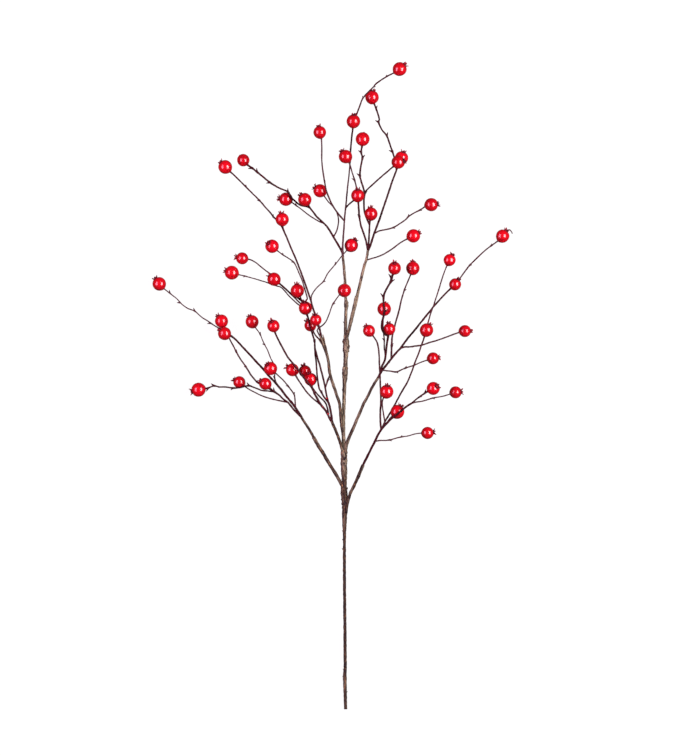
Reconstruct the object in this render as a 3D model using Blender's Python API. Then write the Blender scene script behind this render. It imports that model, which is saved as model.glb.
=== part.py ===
"""A cut sprig of rose hips, laid down on a flat surface.

One woody stem runs along Y, its cut end at -Y, and carries fifty-six hips on wiry
twigs. Six side sprays are bound on to the stem, and the stem itself goes on past
them as the leader. Z is up from the surface that the sprig lies on.

The sprig is drawn on a plan seen from above: x runs to the right and y down the
sheet, and the third number of a point is its height over the surface, all in plan
units. PLAN_LENGTH of those units are the SPRIG_LENGTH of the real thing.
"""

import math

import bmesh
import bpy
from mathutils import Vector
from mathutils.geometry import intersect_point_line

SPRIG_LENGTH = 0.750          # from the cut end to the highest tip
PLAN_LENGTH = 648.2           # the same length on the plan
UNIT = SPRIG_LENGTH / PLAN_LENGTH
PLAN_CENTRE = (332.0, 385.35)  # middle of the sprig on the plan, x and y

CLEARANCE = 0.0003            # air left between a spray's foot and the stem
RING_STEP = 12.5              # plan units between the rings of a twig
STEM_RING_STEP = 10.0         # and between the rings of the stem
FINE_STEPS = 8                # points read between two route points

HIP_SEGMENTS = 8              # round the hip
HIP_RINGS = 6                 # from stalk to crown
HIP_STRETCH = 1.03            # a hip is a little longer than wide
HIP_ROOT = 0.45               # how deep the stalk goes in, as a share of the radius

SEPALS = 4                    # dried sepals left on each crown
SEPAL_LENGTH = 3.1            # standing out of the hip
SEPAL_ROOT = 1.6              # and sunk into it
SEPAL_WIDTH = 1.5
SEPAL_SPLAY = math.radians(38)
SEPAL_RING = 0.24             # how far from the axis they stand, as a share of the radius

BUD_LENGTH = 2.6
BUD_ROOT = 0.9
BUD_WIDTH = 1.5
BUD_LEAN = math.radians(42)   # away from the twig that carries it

# Every twig is (thickness at its foot, thickness at its tip, route, hip). A route
# point is (x, y, height) or (x, y, height, side) where a pointed bud sits on the
# twig: 1 on the right-hand side as the twig grows, -1 on the left. A hip is
# (x, y, height, radius, direction of its crown), or None where the twig has none.

# The stem, from the cut end to the tip: x, y, height, thickness. It is thick where
# bark binds the foot of a spray to it.
STEM = [
    (345.6, 709.7, 1.4, 3.2), (345.3, 694, 2.4, 3.2), (344.8, 678, 3.3, 3.8),
    (345.2, 667, 4.0, 3.0), (345.0, 640, 6.5, 2.9), (344.7, 605, 9.8, 2.8),
    (344.4, 570, 13.0, 2.8), (344.4, 548, 15.0, 2.8), (344.5, 534, 16.0, 3.0),
    (344.5, 526, 16.6, 4.2), (344.6, 518, 17.4, 4.8), (344.8, 509, 18.2, 5.6),
    (344.9, 501, 18.9, 6.0), (344.0, 491, 20.2, 6.2), (344.3, 481, 21.3, 4.7),
    (344.0, 470, 22.6, 5.6), (344.0, 453, 24.8, 5.9), (343.7, 442, 26.0, 3.4),
    (343.3, 428, 27.6, 3.6), (343.3, 414, 29.2, 3.6), (344.0, 402, 30.4, 3.1),
    (344.4, 386, 32.0, 3.5), (345.0, 373, 33.3, 4.9), (345.7, 360, 34.6, 4.5),
    (346.0, 350, 35.6, 5.8), (346.0, 341, 36.4, 5.6), (345.5, 333, 37.0, 3.8),
    (345.5, 324, 38.0, 3.5), (345.9, 312, 39.2, 3.5), (346.2, 304, 40.0, 3.9),
    (345.5, 296, 40.7, 3.0), (345.0, 282, 42.0, 3.2), (344.2, 270, 43.2, 3.0),
    (342.8, 256, 44.4, 2.7), (342.6, 248, 45.0, 2.3), (343.2, 238, 45.7, 2.1),
    (344.0, 228, 46.3, 2.0), (344.6, 218, 46.9, 1.9), (345.6, 208, 47.5, 1.85),
    (346.5, 199, 48.0, 1.8), (347.6, 187, 48.7, 1.7), (349.0, 175, 49.3, 1.65),
    (350.1, 162, 50.0, 1.6), (350.6, 150, 50.7, 1.5), (351.6, 139, 51.5, 1.4),
    (352.7, 130, 52.5, 1.4), (355.0, 119, 54.0, 1.3), (357.0, 113.5, 54.5, 1.3),
    (360.0, 105.5, 55.2, 1.3), (363.0, 98.2, 56.0, 1.3), (369.0, 91.5, 57.0, 1.25),
    (373.5, 87, 57.6, 1.25), (376.5, 83.5, 58.0, 1.25), (386.0, 77.2, 59.0, 1.25),
    (394.0, 73, 59.6, 1.25), (397.0, 71, 59.8, 1.25),
]
STEM_HIP = (399.6, 69.3, 60.0, 6.7, (6, -5, 1))
STEM_BUDS = [
    (363.0, 98.2, 56.0, -1), (373.5, 87, 57.6, 1), (386.0, 77.2, 59.0, -1),
]

TOP_TWIGS = [
    (1.3, 1.2, [(352.4, 132, 52.2), (352.9, 127.5, 55)],
     (353.4, 121.5, 60, 6.6, (0.5, -7, 2))),
    (1.3, 1.2, [(345.6, 208, 47.5), (349, 204.2, 47.6), (353, 201, 47.8), (358, 197, 48.3),
                (364, 192.5, 49.6), (370, 187, 51.5), (380, 178, 55), (387, 172, 58.5),
                (393, 167, 62)],
     (398.2, 162.3, 65, 6.4, (6, -1, 3))),
    (1.4, 1.2, [(344.4, 221, 46.7), (338, 213.5, 47.5), (332.5, 205.5, 48.5),
                (329.5, 199, 50), (327, 193, 52), (325.5, 187, 53), (323, 172, 55),
                (321.8, 160, 56.5), (321.8, 150, 58), (321.6, 140, 59)],
     (319.8, 132.5, 60, 6.1, (-1.5, -8, 1))),
    (1.8, 1.4, [(342.6, 253, 44.6), (340, 248, 44.2), (333.5, 237, 43), (328, 228, 42.2),
                (323, 222.5, 42), (317, 217, 41.8), (314, 213, 41.6), (310, 208, 41.5)],
     (304.8, 199.6, 45, 6.4, (-6, -7, 1))),
    (1.2, 1.2, [(310, 208, 41.5), (307, 206.5, 40.5), (301, 205.5, 39.6), (296, 202, 39.6),
                (291, 197, 41), (288, 192, 43, 1), (284.5, 190.2, 43.6), (279, 188, 44),
                (270, 182.5, 44.5, -1), (262, 176, 44.5), (257, 172, 44.5, 1),
                (252, 168, 44.3, -1), (248, 165.3, 44)],
     (243.3, 160.2, 43, 6.0, (-2, -2, -6))),
    (1.3, 1.2, [(323, 223, 42), (320, 222, 41), (314, 218.5, 39.5), (308, 214.5, 38),
                (301, 209, 36.5), (296, 205.3, 35.5, 1), (292, 202.5, 34.8)],
     (285.8, 199.2, 34, 6.5, (-7, -1, 1))),
    (1.3, 1.2, [(333.5, 237, 43), (337, 230, 41.5), (338.5, 221, 40.5), (337, 213, 40.5),
                (332.5, 206, 41), (328.5, 202, 42), (324.5, 196.5, 43)],
     (320, 190.8, 44, 6.4, (-6, -4, 1))),
]

LOWER_RIGHT = [
    (3.0, 3.4, [(346, 513, 19.6), (347.5, 503, 21.5), (350.5, 493, 24), (354, 486, 26),
                (358, 477, 28.6), (363, 465, 31.8)], None),
    (2.2, 1.6, [(361.5, 468.5, 31), (363, 465, 31.8), (368, 455, 34.4), (371, 449, 36),
                (375, 441, 38), (378, 435, 39.4), (381, 430, 40.5), (387, 423, 42),
                (391, 419, 42.8), (395, 416, 43.6), (400, 412, 44.8), (405, 407.5, 45.6),
                (412, 403, 46.2)], None),
    (1.3, 1.2, [(411, 403.6, 46.1), (416, 399.5, 47), (420, 396.5, 47.6, 1),
                (425, 393, 48.2, -1), (428.5, 391, 48.6)],
     (433.2, 388.4, 49, 6.3, (4, -2, 5))),
    (1.3, 1.2, [(410, 404.2, 46), (415, 402.3, 45), (422, 401.3, 43.4), (428, 399.5, 42),
                (433, 398, 40.6, 1), (438.5, 397, 39.2), (444, 396, 37.8), (449.5, 394.3, 36)],
     (455.6, 392.3, 34, 5.8, (8, -1, 2))),
    (1.3, 1.2, [(374.8, 441.4, 38), (380, 440.5, 37), (384, 440.5, 36), (390, 440, 34, 1),
                (395, 438.5, 32), (401, 437, 30, -1), (408, 436, 27.4), (415, 434, 24.8),
                (421, 433.2, 22.6)],
     (427.6, 433, 20.5, 5.9, (9, -1, 1))),
    (1.3, 1.2, [(381.2, 430, 40.5), (380.4, 422, 41.4), (380.3, 412, 42.6), (380.8, 404, 43.4),
                (380.8, 395, 44), (380.3, 387, 44.8), (380, 376, 46), (379.4, 365, 47.4),
                (378.9, 352, 49.2), (377.3, 343, 50.8), (375, 338.7, 51.8)],
     (369, 330.8, 54, 5.8, (-4, -6, 2))),
    (1.3, 1.2, [(381.8, 429.2, 40.6), (384.5, 422, 42), (384, 417, 43.4), (383, 411, 45),
                (382.2, 404, 47), (382.8, 399.5, 48.6)],
     (386.6, 391.7, 51, 6.6, (1, -8, 4))),
    (1.7, 1.4, [(381, 430.4, 40.3), (385, 421.5, 38), (388, 416.5, 35.5), (391, 411.5, 33.5),
                (393.3, 407, 32.6), (395.5, 403.5, 32.8), (400.5, 394, 34.5), (404, 388, 36),
                (407.5, 382, 37.5), (410, 376, 38.5), (412, 371, 39.4), (415.5, 361, 40.6),
                (418, 355, 41.2), (421.5, 345, 42), (423, 341, 42.3), (424.5, 336.5, 42.6)],
     (426.5, 330.1, 43.5, 6.5, (4, -8, 1))),
    (1.2, 1.2, [(422.4, 343, 42.1), (425, 334, 37.5), (427, 326, 35.4), (429, 319.5, 35.8),
                (430.5, 314, 36.4), (433.5, 306, 37.6), (435, 301, 38.6), (438, 292, 40.4),
                (441, 282, 42.2), (444, 273, 43.8), (446.5, 266.5, 45)],
     (449.6, 260, 46, 5.8, (3, -6, 1))),
    (1.3, 1.2, [(386.4, 423.6, 41.8), (389.5, 419, 40), (392, 416.5, 38.5)],
     (397.4, 411.8, 36.3, 6.7, (4, -7, 1))),
]

LOWER_LEFT = [
    (3.4, 3.6, [(343, 488, 21), (340.5, 482.5, 21.6), (338, 478, 22), (335, 473, 22.3),
                (331, 466.5, 22.6), (327, 460, 22.8), (323, 453, 23), (319, 447, 23.1),
                (315, 440, 23.1), (313.4, 437, 23.1)], None),
    (2.7, 2.5, [(315, 440, 23.1), (312, 434.5, 23), (308, 427.5, 22.9), (303, 420, 22.7),
                (300, 414.5, 22.5)], None),
    (2.1, 1.5, [(301, 416.5, 22.5), (295, 407, 22.2), (292, 403, 22), (289, 399.5, 21.8),
                (286, 396, 21.7), (283, 392, 21.5), (276, 383.5, 21.1), (268, 375, 20.6),
                (263, 369, 20.2), (257, 362.5, 19.8), (250, 355, 19.4), (243, 347.5, 19.1),
                (236, 340, 18.9), (231, 336, 19)],
     (224.4, 333.5, 20, 6.3, (-6, -5, 2))),
    (1.3, 1.2, [(237.5, 341.6, 19), (231.5, 336.5, 15), (226, 332.5, 11.6), (220, 328.8, 10.8),
                (215, 326, 10.5), (210.5, 323, 10.2, -1), (207, 320.5, 10), (202, 317.5, 9.6),
                (198, 314, 9.3), (194.5, 311, 9, 1), (188, 308.5, 8.6), (184, 306, 8.3),
                (180, 302.5, 8.1, -1), (177, 299, 7.9), (172, 295, 7.4), (169.5, 293, 7.1, 1),
                (165.5, 290, 6.6)],
     (159, 283.7, 5.6, 6.5, (-5, -7, 0.5))),
    (1.7, 1.3, [(301.5, 417.4, 22.6), (295, 411, 23.2), (291, 406.3, 23.5), (288, 402.5, 23.7),
                (285, 400.5, 23.8), (282, 398, 24), (279, 395, 24.3), (274, 391.5, 24.9, 1),
                (270.5, 388.7, 25.5)],
     (265.3, 383.8, 27, 5.9, (-6, -4, 2))),
    (1.2, 1.2, [(274.5, 391.8, 24.8), (271, 390, 22), (267, 387.5, 19.2), (262, 385, 18),
                (257.5, 382.5, 17.6, 1), (252, 376.5, 17.2), (249, 372, 17),
                (246, 367, 16.8, -1), (240, 358.5, 16.5), (236, 351.5, 16.2, 1),
                (233, 345.5, 15.8), (230, 340, 14.6), (227.2, 333, 13.6), (224.6, 327, 13.6)],
     (221.4, 321, 14, 6.3, (-5, -7, 1))),
    (1.3, 1.2, [(275, 392, 24.8), (268, 391, 22.5), (262, 390.5, 20.8), (258, 389, 19.6),
                (254, 387.5, 18.4), (249, 385.7, 17.2, 1), (244, 386.5, 16.2), (241, 387.5, 15.6),
                (238, 387.8, 15), (233, 388, 13.8, -1), (225, 387, 12), (219, 387, 10.6),
                (214, 385.8, 9.4, 1), (208, 388, 8, -1), (204.5, 388.7, 7)],
     (198.3, 389.7, 5.9, 6.8, (-7, 2, 0.5))),
    (1.3, 1.2, [(288, 402.5, 23.5), (281, 401, 22.2), (276, 400, 21.2), (270, 398.5, 20),
                (265, 397, 18.8), (260, 395, 17.6), (255, 392.5, 16.2), (250, 390, 14.6),
                (246, 387.3, 13.2)],
     (239.2, 382.2, 11.5, 5.8, (-6, -3, 1))),
    (1.3, 1.2, [(295.4, 408, 22.2), (295.2, 403, 22.8), (294.8, 398, 23.6), (294, 394, 24.2, 1),
                (291, 390, 24.8), (288, 386, 25.4, -1), (283, 380, 26.6), (279, 376.3, 27.6),
                (276.5, 374, 28.4)],
     (270.5, 368.5, 30, 6.4, (-5, -5, 5))),
    (1.3, 1.2, [(278, 386, 21.2), (275.5, 381, 21.6), (274.4, 377.5, 22, -1), (274.8, 373, 22),
                (274, 367, 22), (273, 362.5, 22.3), (271, 359, 22.6), (269, 354, 22.9),
                (267, 349, 23.2), (264.5, 344.5, 23.5, -1), (262, 339, 23.7),
                (260, 334, 23.9, 1), (258, 331, 24.1), (255.5, 327.8, 24.3)],
     (252, 321.7, 24.5, 6.3, (-3, -7, 1))),
]

MIDDLE_LEFT = [
    (2.6, 2.5, [(342.5, 451, 27), (341.2, 446, 28.6), (339.5, 440.5, 30), (337.3, 434.5, 31.3),
                (335.2, 429.3, 32.3), (333, 424.5, 33.2), (331.8, 421, 33.8)], None),
    (1.8, 1.4, [(332.4, 422.6, 33.5), (330, 419, 34), (328, 415, 34.5), (326, 411, 35),
                (323, 407.5, 35.6), (321, 405, 36), (318, 400, 36.9), (315, 394.5, 38),
                (312.5, 389, 39.2), (311, 386.5, 40), (308, 383, 41.2), (304, 378, 42.8),
                (301, 374, 43.8), (298, 370, 44.6), (294, 365, 45.4), (291, 361, 45.9),
                (288, 357.5, 46.2), (283, 348.5, 46.8), (280, 343, 47), (277, 337, 47.2),
                (275, 332.5, 47.3)],
     (273.4, 326, 47.5, 6.0, (-2, -5, 4))),
    (1.3, 1.2, [(323.5, 408, 35.5), (319, 403.5, 35.5), (313, 398.5, 35.5), (308, 393.5, 35.6),
                (303, 387, 35.7), (298.7, 380.5, 35.8), (296, 376, 35.9)],
     (292.3, 369.8, 36, 6.2, (-7, -4, 1))),
    (1.2, 1.2, [(328.7, 414.5, 34.4), (326.5, 405, 33.8), (324, 401, 33.7), (320, 397, 33.7),
                (316, 392.5, 33.8), (312.6, 388.2, 33.9)],
     (310.6, 379.3, 34, 6.1, (-2, -8, 2))),
    (1.2, 1.2, [(314, 390.2, 33.8), (311.6, 386.5, 27.5), (308.6, 379.5, 25.6)],
     (304.8, 371.3, 27, 5.9, (-2, -8, 2))),
    (1.9, 1.8, [(332.2, 422.4, 33.5), (331.3, 415, 35), (330, 408, 36.4), (328.5, 402.5, 37.5)],
     None),
    (1.5, 1.4, [(328.9, 404, 37.2), (327.2, 398, 38.4), (326.3, 394, 39.2), (325.3, 388, 40.3),
                (324, 382, 41.3), (322.6, 376, 42.3), (321, 370, 43.2), (319.5, 364, 44),
                (318, 359.5, 44.6), (316.5, 354, 45.2), (315, 348.5, 45.8), (314.5, 341, 46.8, 1),
                (313, 336, 47.5), (311.2, 330, 48.4), (309.6, 324, 49.2), (308.2, 318, 49.8),
                (306.8, 314.5, 50)],
     (305.4, 308.1, 50, 6.4, (-1, -6, 3))),
    (1.3, 1.3, [(328.6, 403, 37.3), (324, 397, 36.9), (321.5, 392.5, 37.2, 1), (319, 388, 38),
                (318, 382, 39), (317.2, 376, 40), (316.6, 368, 41.3), (316, 360, 42.6),
                (315.2, 355, 43.6), (314.8, 347.5, 45.9)], None),
    (1.2, 1.0, [(325.3, 388, 40.3), (326.6, 384, 40.6), (327.5, 380.5, 40.8, 1),
                (329, 377, 41), (330.2, 373.5, 41.2)], None),
    (1.5, 1.4, [(308.3, 318.5, 49.6), (306.4, 312, 43.6), (304.6, 306, 41.4), (303, 302.5, 41.8),
                (299, 298.7, 42.5), (295, 296.3, 43), (290, 293, 43.6), (285, 288.3, 44.2),
                (280, 284, 44.8)],
     (274, 279.2, 45.5, 6.4, (-7, -6, 1))),
    (1.3, 1.2, [(303, 302.5, 41.8), (301, 298.8, 43.5)],
     (297.4, 290.7, 47, 6.5, (-1, -8, 1))),
    (1.3, 1.2, [(304.4, 305.8, 41.4), (300, 303, 41), (295.3, 298.4, 40.8), (290, 293.3, 40.6),
                (286, 289, 40.4), (281, 285, 39.9), (277, 281, 38.4), (273, 277, 37.2),
                (269, 273, 36.6), (265, 270, 36.2), (260, 266, 35.8), (255, 262, 35.4),
                (250, 259.6, 35.1)],
     (242.1, 258.3, 34.5, 5.8, (-9, -2, 1))),
    (1.3, 1.2, [(305, 307.5, 41.4), (299, 305, 40.6), (294, 300.8, 39.4), (289, 296, 38.4),
                (285, 291.3, 38), (281, 287.3, 37.8), (277, 286, 37.6), (272, 284.7, 37.2, 1),
                (267, 282.5, 36.6), (262, 281, 36), (255, 278.8, 35), (250, 277.5, 34.2),
                (245, 276, 33.3, -1), (241, 275.2, 32.6)],
     (231.7, 272.6, 31, 6.7, (-8, -3, 1))),
    (1.2, 1.1, [(303, 302.8, 41.8), (305.2, 301.5, 43), (307.3, 299, 44.5), (306.5, 295, 45.6),
                (304.3, 287.5, 47.4), (302, 280, 48.8), (299, 273, 49.8), (296, 266, 50.4),
                (293.5, 262, 50.7, -1), (288, 258, 51), (283, 255, 51.2, 1), (278, 251.2, 51.4)],
     (272.1, 246.3, 51.5, 6.5, (-5, -4, 6))),
]

INNER_LEFT = [
    (2.6, 2.5, [(342.6, 432, 28.6), (341.3, 424, 31), (340.6, 415, 33), (340, 408, 34.6),
                (339.6, 404, 35.6), (338.5, 400, 36.8), (337, 396, 38), (335.5, 391.5, 39.3),
                (334, 387, 40.6), (332.5, 382.5, 42), (331, 378, 43.6), (330, 374, 45),
                (329.3, 370, 46.2), (328.5, 362, 48), (327, 355, 49.4), (325.3, 350, 50.2)],
     None),
    (3.0, 3.4, [(326, 352, 50), (323.4, 344, 51.2), (321.3, 338, 52)], None),
    (2.2, 1.5, [(321.8, 340, 51.8), (320.8, 334, 53), (319.6, 329, 54), (318, 323, 55),
                (316.5, 318, 56), (315, 313.5, 56.8), (313.5, 310, 57.3), (312.2, 306, 57.8),
                (311, 301, 58.3), (309, 295, 58.8), (306.7, 288, 59.3), (304.2, 281, 59.6),
                (302, 275, 59.7), (299, 267, 59.4), (295, 257, 59), (291, 248, 58.6),
                (287, 238, 58.2), (284, 231, 58.2), (282.6, 227, 58.4)],
     (282.2, 219.5, 58.5, 6.4, (-1, -8, 1))),
    (1.3, 1.2, [(287.6, 239.5, 58.2), (284, 231.5, 55), (281.5, 226, 52), (278.5, 222, 50.2),
                (275.5, 219, 49), (273, 216.5, 48, 1), (271, 213.5, 47.2), (266, 208, 45.6),
                (259.5, 200.5, 43.6, -1), (253, 194, 42), (246, 187, 40.4, 1),
                (236, 177, 38.4), (230, 171.5, 37.2)],
     (225.2, 166.9, 36, 6.6, (-5, -5, 1))),
    (1.4, 1.2, [(320.9, 338.6, 51.8), (318.5, 333.5, 52.2), (317, 330.3, 52.6),
                (318.8, 328, 53), (323, 325, 53.8), (326, 321.5, 54.4), (328, 317, 55),
                (329.8, 312.5, 55.6), (331, 308.5, 56.2), (333, 304, 57, 1),
                (336, 299.5, 57.8), (339, 295.5, 58.2), (341, 293.3, 58)],
     (344.4, 290.5, 54, 6.5, (3, -2, -6))),
    (1.3, 1.2, [(311.6, 303.8, 58), (311.2, 297, 56.8), (313, 293, 55.6), (314.5, 290.5, 54.8),
                (318, 286.5, 53.2), (323.5, 281.5, 51, 1), (325.3, 278, 49.8), (328, 273, 48),
                (332.5, 267.7, 45.8), (335.5, 264, 44, -1), (338, 261, 42.4), (341, 257, 40.2),
                (344.5, 253, 38.8), (347, 250, 38.6)],
     (351.3, 245.3, 39, 6.5, (5, -7, 1))),
    (1.3, 1.2, [(320.9, 334.6, 52.8), (319.5, 330, 56), (317.8, 326.5, 59)],
     (315.8, 320, 62.5, 5.6, (-1, -6, 3))),
    (1.3, 1.2, [(323.4, 344, 51), (319.8, 340, 49.5), (316.4, 336.4, 46.3), (313.8, 332.5, 43.3)],
     (310.3, 325.5, 40, 5.7, (-4, -6, 1))),
]

MIDDLE_RIGHT = [
    (3.2, 2.2, [(345, 453, 26), (346.3, 446, 26.6), (348, 440, 27.2), (350, 435.5, 27.6),
                (352, 431, 28), (355, 424, 28.6), (358, 417, 29), (361, 410, 29.3),
                (364, 403, 29.5), (368, 396, 29.6), (371, 389.5, 29.6), (375, 382.5, 29.5),
                (378, 378, 29.3)], None),
    (2.0, 1.3, [(376.5, 380.4, 29.4), (380, 374, 29), (384, 368, 28.5), (388, 363, 28),
                (392, 358, 27.5), (396, 353, 26.8), (401, 347.5, 26), (408, 338, 25),
                (414, 331, 24), (420, 323.5, 23), (426, 316, 22), (431, 310, 21),
                (434, 306, 20.5), (440, 299.5, 19.8), (446, 293, 19.3), (450.5, 288.7, 19)],
     (455.2, 284.3, 19, 5.8, (4, -6, 2))),
    (1.2, 1.2, [(441, 298.4, 19.6), (446, 293, 16), (450.5, 288.5, 12.6), (455, 284, 10.8),
                (459, 279.5, 9.6), (462, 275.5, 9), (466, 270, 8.5), (470, 265, 8.2, 1),
                (478, 257, 7.5), (485, 250.5, 7), (491.5, 245.5, 6.5, -1), (498, 240.8, 6)],
     (502.8, 235.9, 5.5, 6.4, (4, -6, 1))),
    (1.0, 0.7, [(506, 231.5, 7), (508.5, 229.4, 7.6), (511, 230.4, 7.6), (512.6, 233.4, 7.2)],
     None),
    (1.3, 1.2, [(382.6, 370.2, 28.7), (391, 371.3, 27.8), (396.5, 372, 27.3, 1),
                (401, 370, 27), (405.5, 368, 26.6, -1), (411, 366.3, 26.2), (415, 365, 25.9),
                (418, 363.5, 25.6), (423, 361.5, 25.2), (427, 360.2, 24.9)],
     (433.1, 358.3, 24.5, 5.8, (7, -1, 1))),
    (1.3, 1.2, [(400, 348.6, 26.1), (404, 347, 25.3), (410, 346.8, 23.8), (417, 345.8, 22),
                (422.5, 345, 20.5), (428, 343, 18.6), (435, 341, 16.2), (441, 339, 14),
                (448, 336.5, 11.2), (455, 333.8, 8.2), (459.5, 332.3, 6.4)],
     (465.1, 331, 5, 5.8, (7, 0, 0.5))),
    (1.3, 1.2, [(391.4, 358.8, 27.6), (391.5, 352, 28.2), (391.8, 345, 29, 1), (392, 339, 29.6),
                (393, 333, 30.2), (395, 325, 31.4), (396.3, 320, 32.2), (398, 314.5, 33.2),
                (399.7, 308, 34.6), (400.6, 303, 35.6), (402.5, 296, 37), (404.2, 290.5, 38.2, 1),
                (405.7, 286.5, 39), (408, 281, 40.5), (410.5, 275, 42)],
     (412.8, 268.3, 43.5, 6.5, (0, -7, -3))),
    (1.7, 1.3, [(379.6, 375, 29.1), (382, 366, 31), (384.5, 361, 32.4), (385.6, 356, 33.6),
                (386.2, 350, 35), (387, 343, 36.8), (388, 337, 38.6), (387.3, 335.3, 39.4),
                (385, 334.5, 40.2), (382.8, 331, 41.6), (381.6, 327, 43.2), (382, 322, 45),
                (383, 318.5, 46), (384.3, 312, 47.6, 1), (384, 307, 48.6), (383.5, 302, 49.6),
                (383.5, 297, 50.6, -1), (384.3, 294, 51.2), (386, 290, 52), (388.5, 285.5, 53),
                (390.7, 281.7, 53.8, 1), (391.5, 278, 54.6, -1), (392.6, 275, 55.4)],
     (394.5, 268.3, 57, 6.2, (0, -8, 6))),
    (1.3, 1.2, [(388, 338.5, 38.2), (388.3, 335.2, 39)],
     (389.4, 329.1, 41, 5.8, (-1, -8, 2))),
    (1.2, 1.2, [(385.5, 358, 33.1), (385, 353, 32.6), (384.2, 347, 32.6), (384.3, 340, 32.8, -1),
                (383.6, 334, 33.4), (383.1, 328, 34), (383, 322, 34.6), (383.4, 316.5, 35.4)],
     (384.2, 309, 36.5, 6.6, (1, -6, -5))),
]

UPPER_RIGHT = [
    (3.2, 3.0, [(346.4, 340, 38.2), (348, 333, 38.8), (350, 326, 39.8), (352, 318, 41),
                (354, 310, 42.4), (356, 302, 43.8), (357.2, 296.4, 44.6)], None),
    (2.7, 2.2, [(356.6, 299, 44.2), (358, 292, 45.2), (360, 284, 46.2), (362, 275, 47.4),
                (364.5, 265, 48.6), (366.5, 259, 49.3), (368, 250, 50.4)], None),
    (1.3, 1.2, [(366.2, 260.4, 49.2), (370, 259, 48.5), (377, 257, 47), (384, 254, 45),
                (392, 249, 42.5), (400, 243, 40), (407, 239, 38)],
     (413.4, 235.8, 36.5, 6.5, (7, -4, 0.5))),
    (1.8, 1.4, [(367.8, 251.5, 50.2), (371, 243.5, 51), (374.5, 232.5, 51.5), (377, 226, 51.6),
                (380, 218, 51.6), (383, 209, 51.5), (386, 200, 51.3), (389, 191, 51),
                (392, 182, 50.8), (395, 174, 50.5), (397, 169, 50.2), (399, 164, 50)],
     (401.5, 158, 49.5, 6.4, (2, -6, 2))),
    (1.3, 1.2, [(396.4, 170.6, 50.3), (395.3, 163, 50.4), (394, 156.5, 50.6),
                (392.5, 152, 50.5, -1), (390, 145, 50), (386.8, 136, 49.4, 1), (382, 130, 49),
                (378.5, 122.5, 48.6, -1), (379.3, 119, 48.4), (376, 108.5, 47.6, 1),
                (374, 103.5, 47)],
     (372, 97.3, 46, 6.5, (1, -6, 0.5))),
    (1.3, 1.2, [(374, 234, 51.5), (379, 231, 50.5), (384, 230, 49), (393, 227.7, 46, 1),
                (400, 223.5, 43.5), (406, 219.3, 41.2), (408.5, 216.5, 40, -1), (414, 213, 38),
                (420, 210, 36, 1), (424.5, 207, 34)],
     (431.3, 204.6, 32, 6.4, (7, -1, 0.5))),
    (1.7, 1.5, [(368, 251, 50.3), (368.7, 243, 52), (369, 236, 53.5), (369.4, 229, 55),
                (369.7, 223, 56.2)],
     (371, 214, 58, 6.3, (-1, -7, 1))),
    (1.4, 1.2, [(369.6, 225, 55.8), (366, 217, 56.8), (364.2, 210, 57.5), (364, 200, 58.5),
                (364.6, 194, 59, 1), (363.3, 188, 59.4), (361, 181, 59.8), (359.9, 176, 60, -1),
                (360.5, 168, 60.4), (362.4, 158, 60.8, 1), (361, 152.5, 61, -1),
                (362, 147, 61.2)],
     (362.6, 139.3, 61.5, 6.7, (1, -3, -5))),
    (1.5, 1.3, [(367.8, 250.5, 50.3), (366, 241, 52), (363.8, 234, 53.5), (361, 226, 55),
                (359.2, 216, 57, -1), (358.6, 208, 58.8), (358.3, 203, 60.4)],
     (357.7, 195.7, 63, 6.4, (0, -7, 3))),
    (1.2, 1.1, [(359.4, 217, 56.8), (358.7, 206, 55.4), (357.5, 196, 54.7), (356.2, 186.5, 54.7),
                (354.5, 180, 55, 1), (352, 172, 55.8), (350, 165, 56.6)],
     (345.5, 156.7, 58, 6.5, (-4, -6, 1))),
]

SPRAYS = {
    "spray_lower_right": LOWER_RIGHT,
    "spray_lower_left": LOWER_LEFT,
    "spray_middle_left": MIDDLE_LEFT,
    "spray_inner_left": INNER_LEFT,
    "spray_middle_right": MIDDLE_RIGHT,
    "spray_upper_right": UPPER_RIGHT,
}

WOOD_COLOUR = (0.060, 0.030, 0.026, 1)
BARK_COLOUR = (0.150, 0.095, 0.062, 1)
HIP_COLOUR = (0.680, 0.003, 0.012, 1)


def new_collection(name):
    collection = bpy.data.collections.new(name)
    bpy.context.scene.collection.children.link(collection)
    return collection


def material(name, colour, roughness):
    made = bpy.data.materials.new(name)
    made.use_nodes = True
    shader = made.node_tree.nodes["Principled BSDF"]
    shader.inputs["Base Color"].default_value = colour
    shader.inputs["Roughness"].default_value = roughness
    shader.inputs["Metallic"].default_value = 0.0
    return made


def place(x, y, height):
    """A point of the plan, in metres."""
    return Vector(((x - PLAN_CENTRE[0]) * UNIT, (PLAN_CENTRE[1] - y) * UNIT, height * UNIT))


def heading(direction):
    """A direction on the plan, as a unit vector."""
    return Vector((direction[0], -direction[1], direction[2])).normalized()


def smooth_line(points, step):
    """Points a step apart on a smooth curve through the given ones.

    Each given point is a Vector of any size, so a thickness can ride along."""
    ends = [points[0] * 2 - points[1]] + points + [points[-1] * 2 - points[-2]]
    fine = [points[0]]
    for a, b, c, d in zip(ends, ends[1:], ends[2:], ends[3:]):
        for i in range(1, FINE_STEPS + 1):
            t = i / FINE_STEPS
            fine.append(0.5 * (2 * b + (c - a) * t + (2 * a - 5 * b + 4 * c - d) * t ** 2
                               + (3 * b - a - 3 * c + d) * t ** 3))
    along = [0.0]
    for a, b in zip(fine, fine[1:]):
        along.append(along[-1] + (b.xyz - a.xyz).length)
    count = max(2, round(along[-1] / step))
    line = [fine[0]]
    for i in range(1, count):
        wanted = along[-1] * i / count
        k = next(j for j, length in enumerate(along) if length >= wanted)
        share = (wanted - along[k - 1]) / (along[k] - along[k - 1])
        line.append(fine[k - 1].lerp(fine[k], share))
    line.append(fine[-1])
    return line


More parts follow.
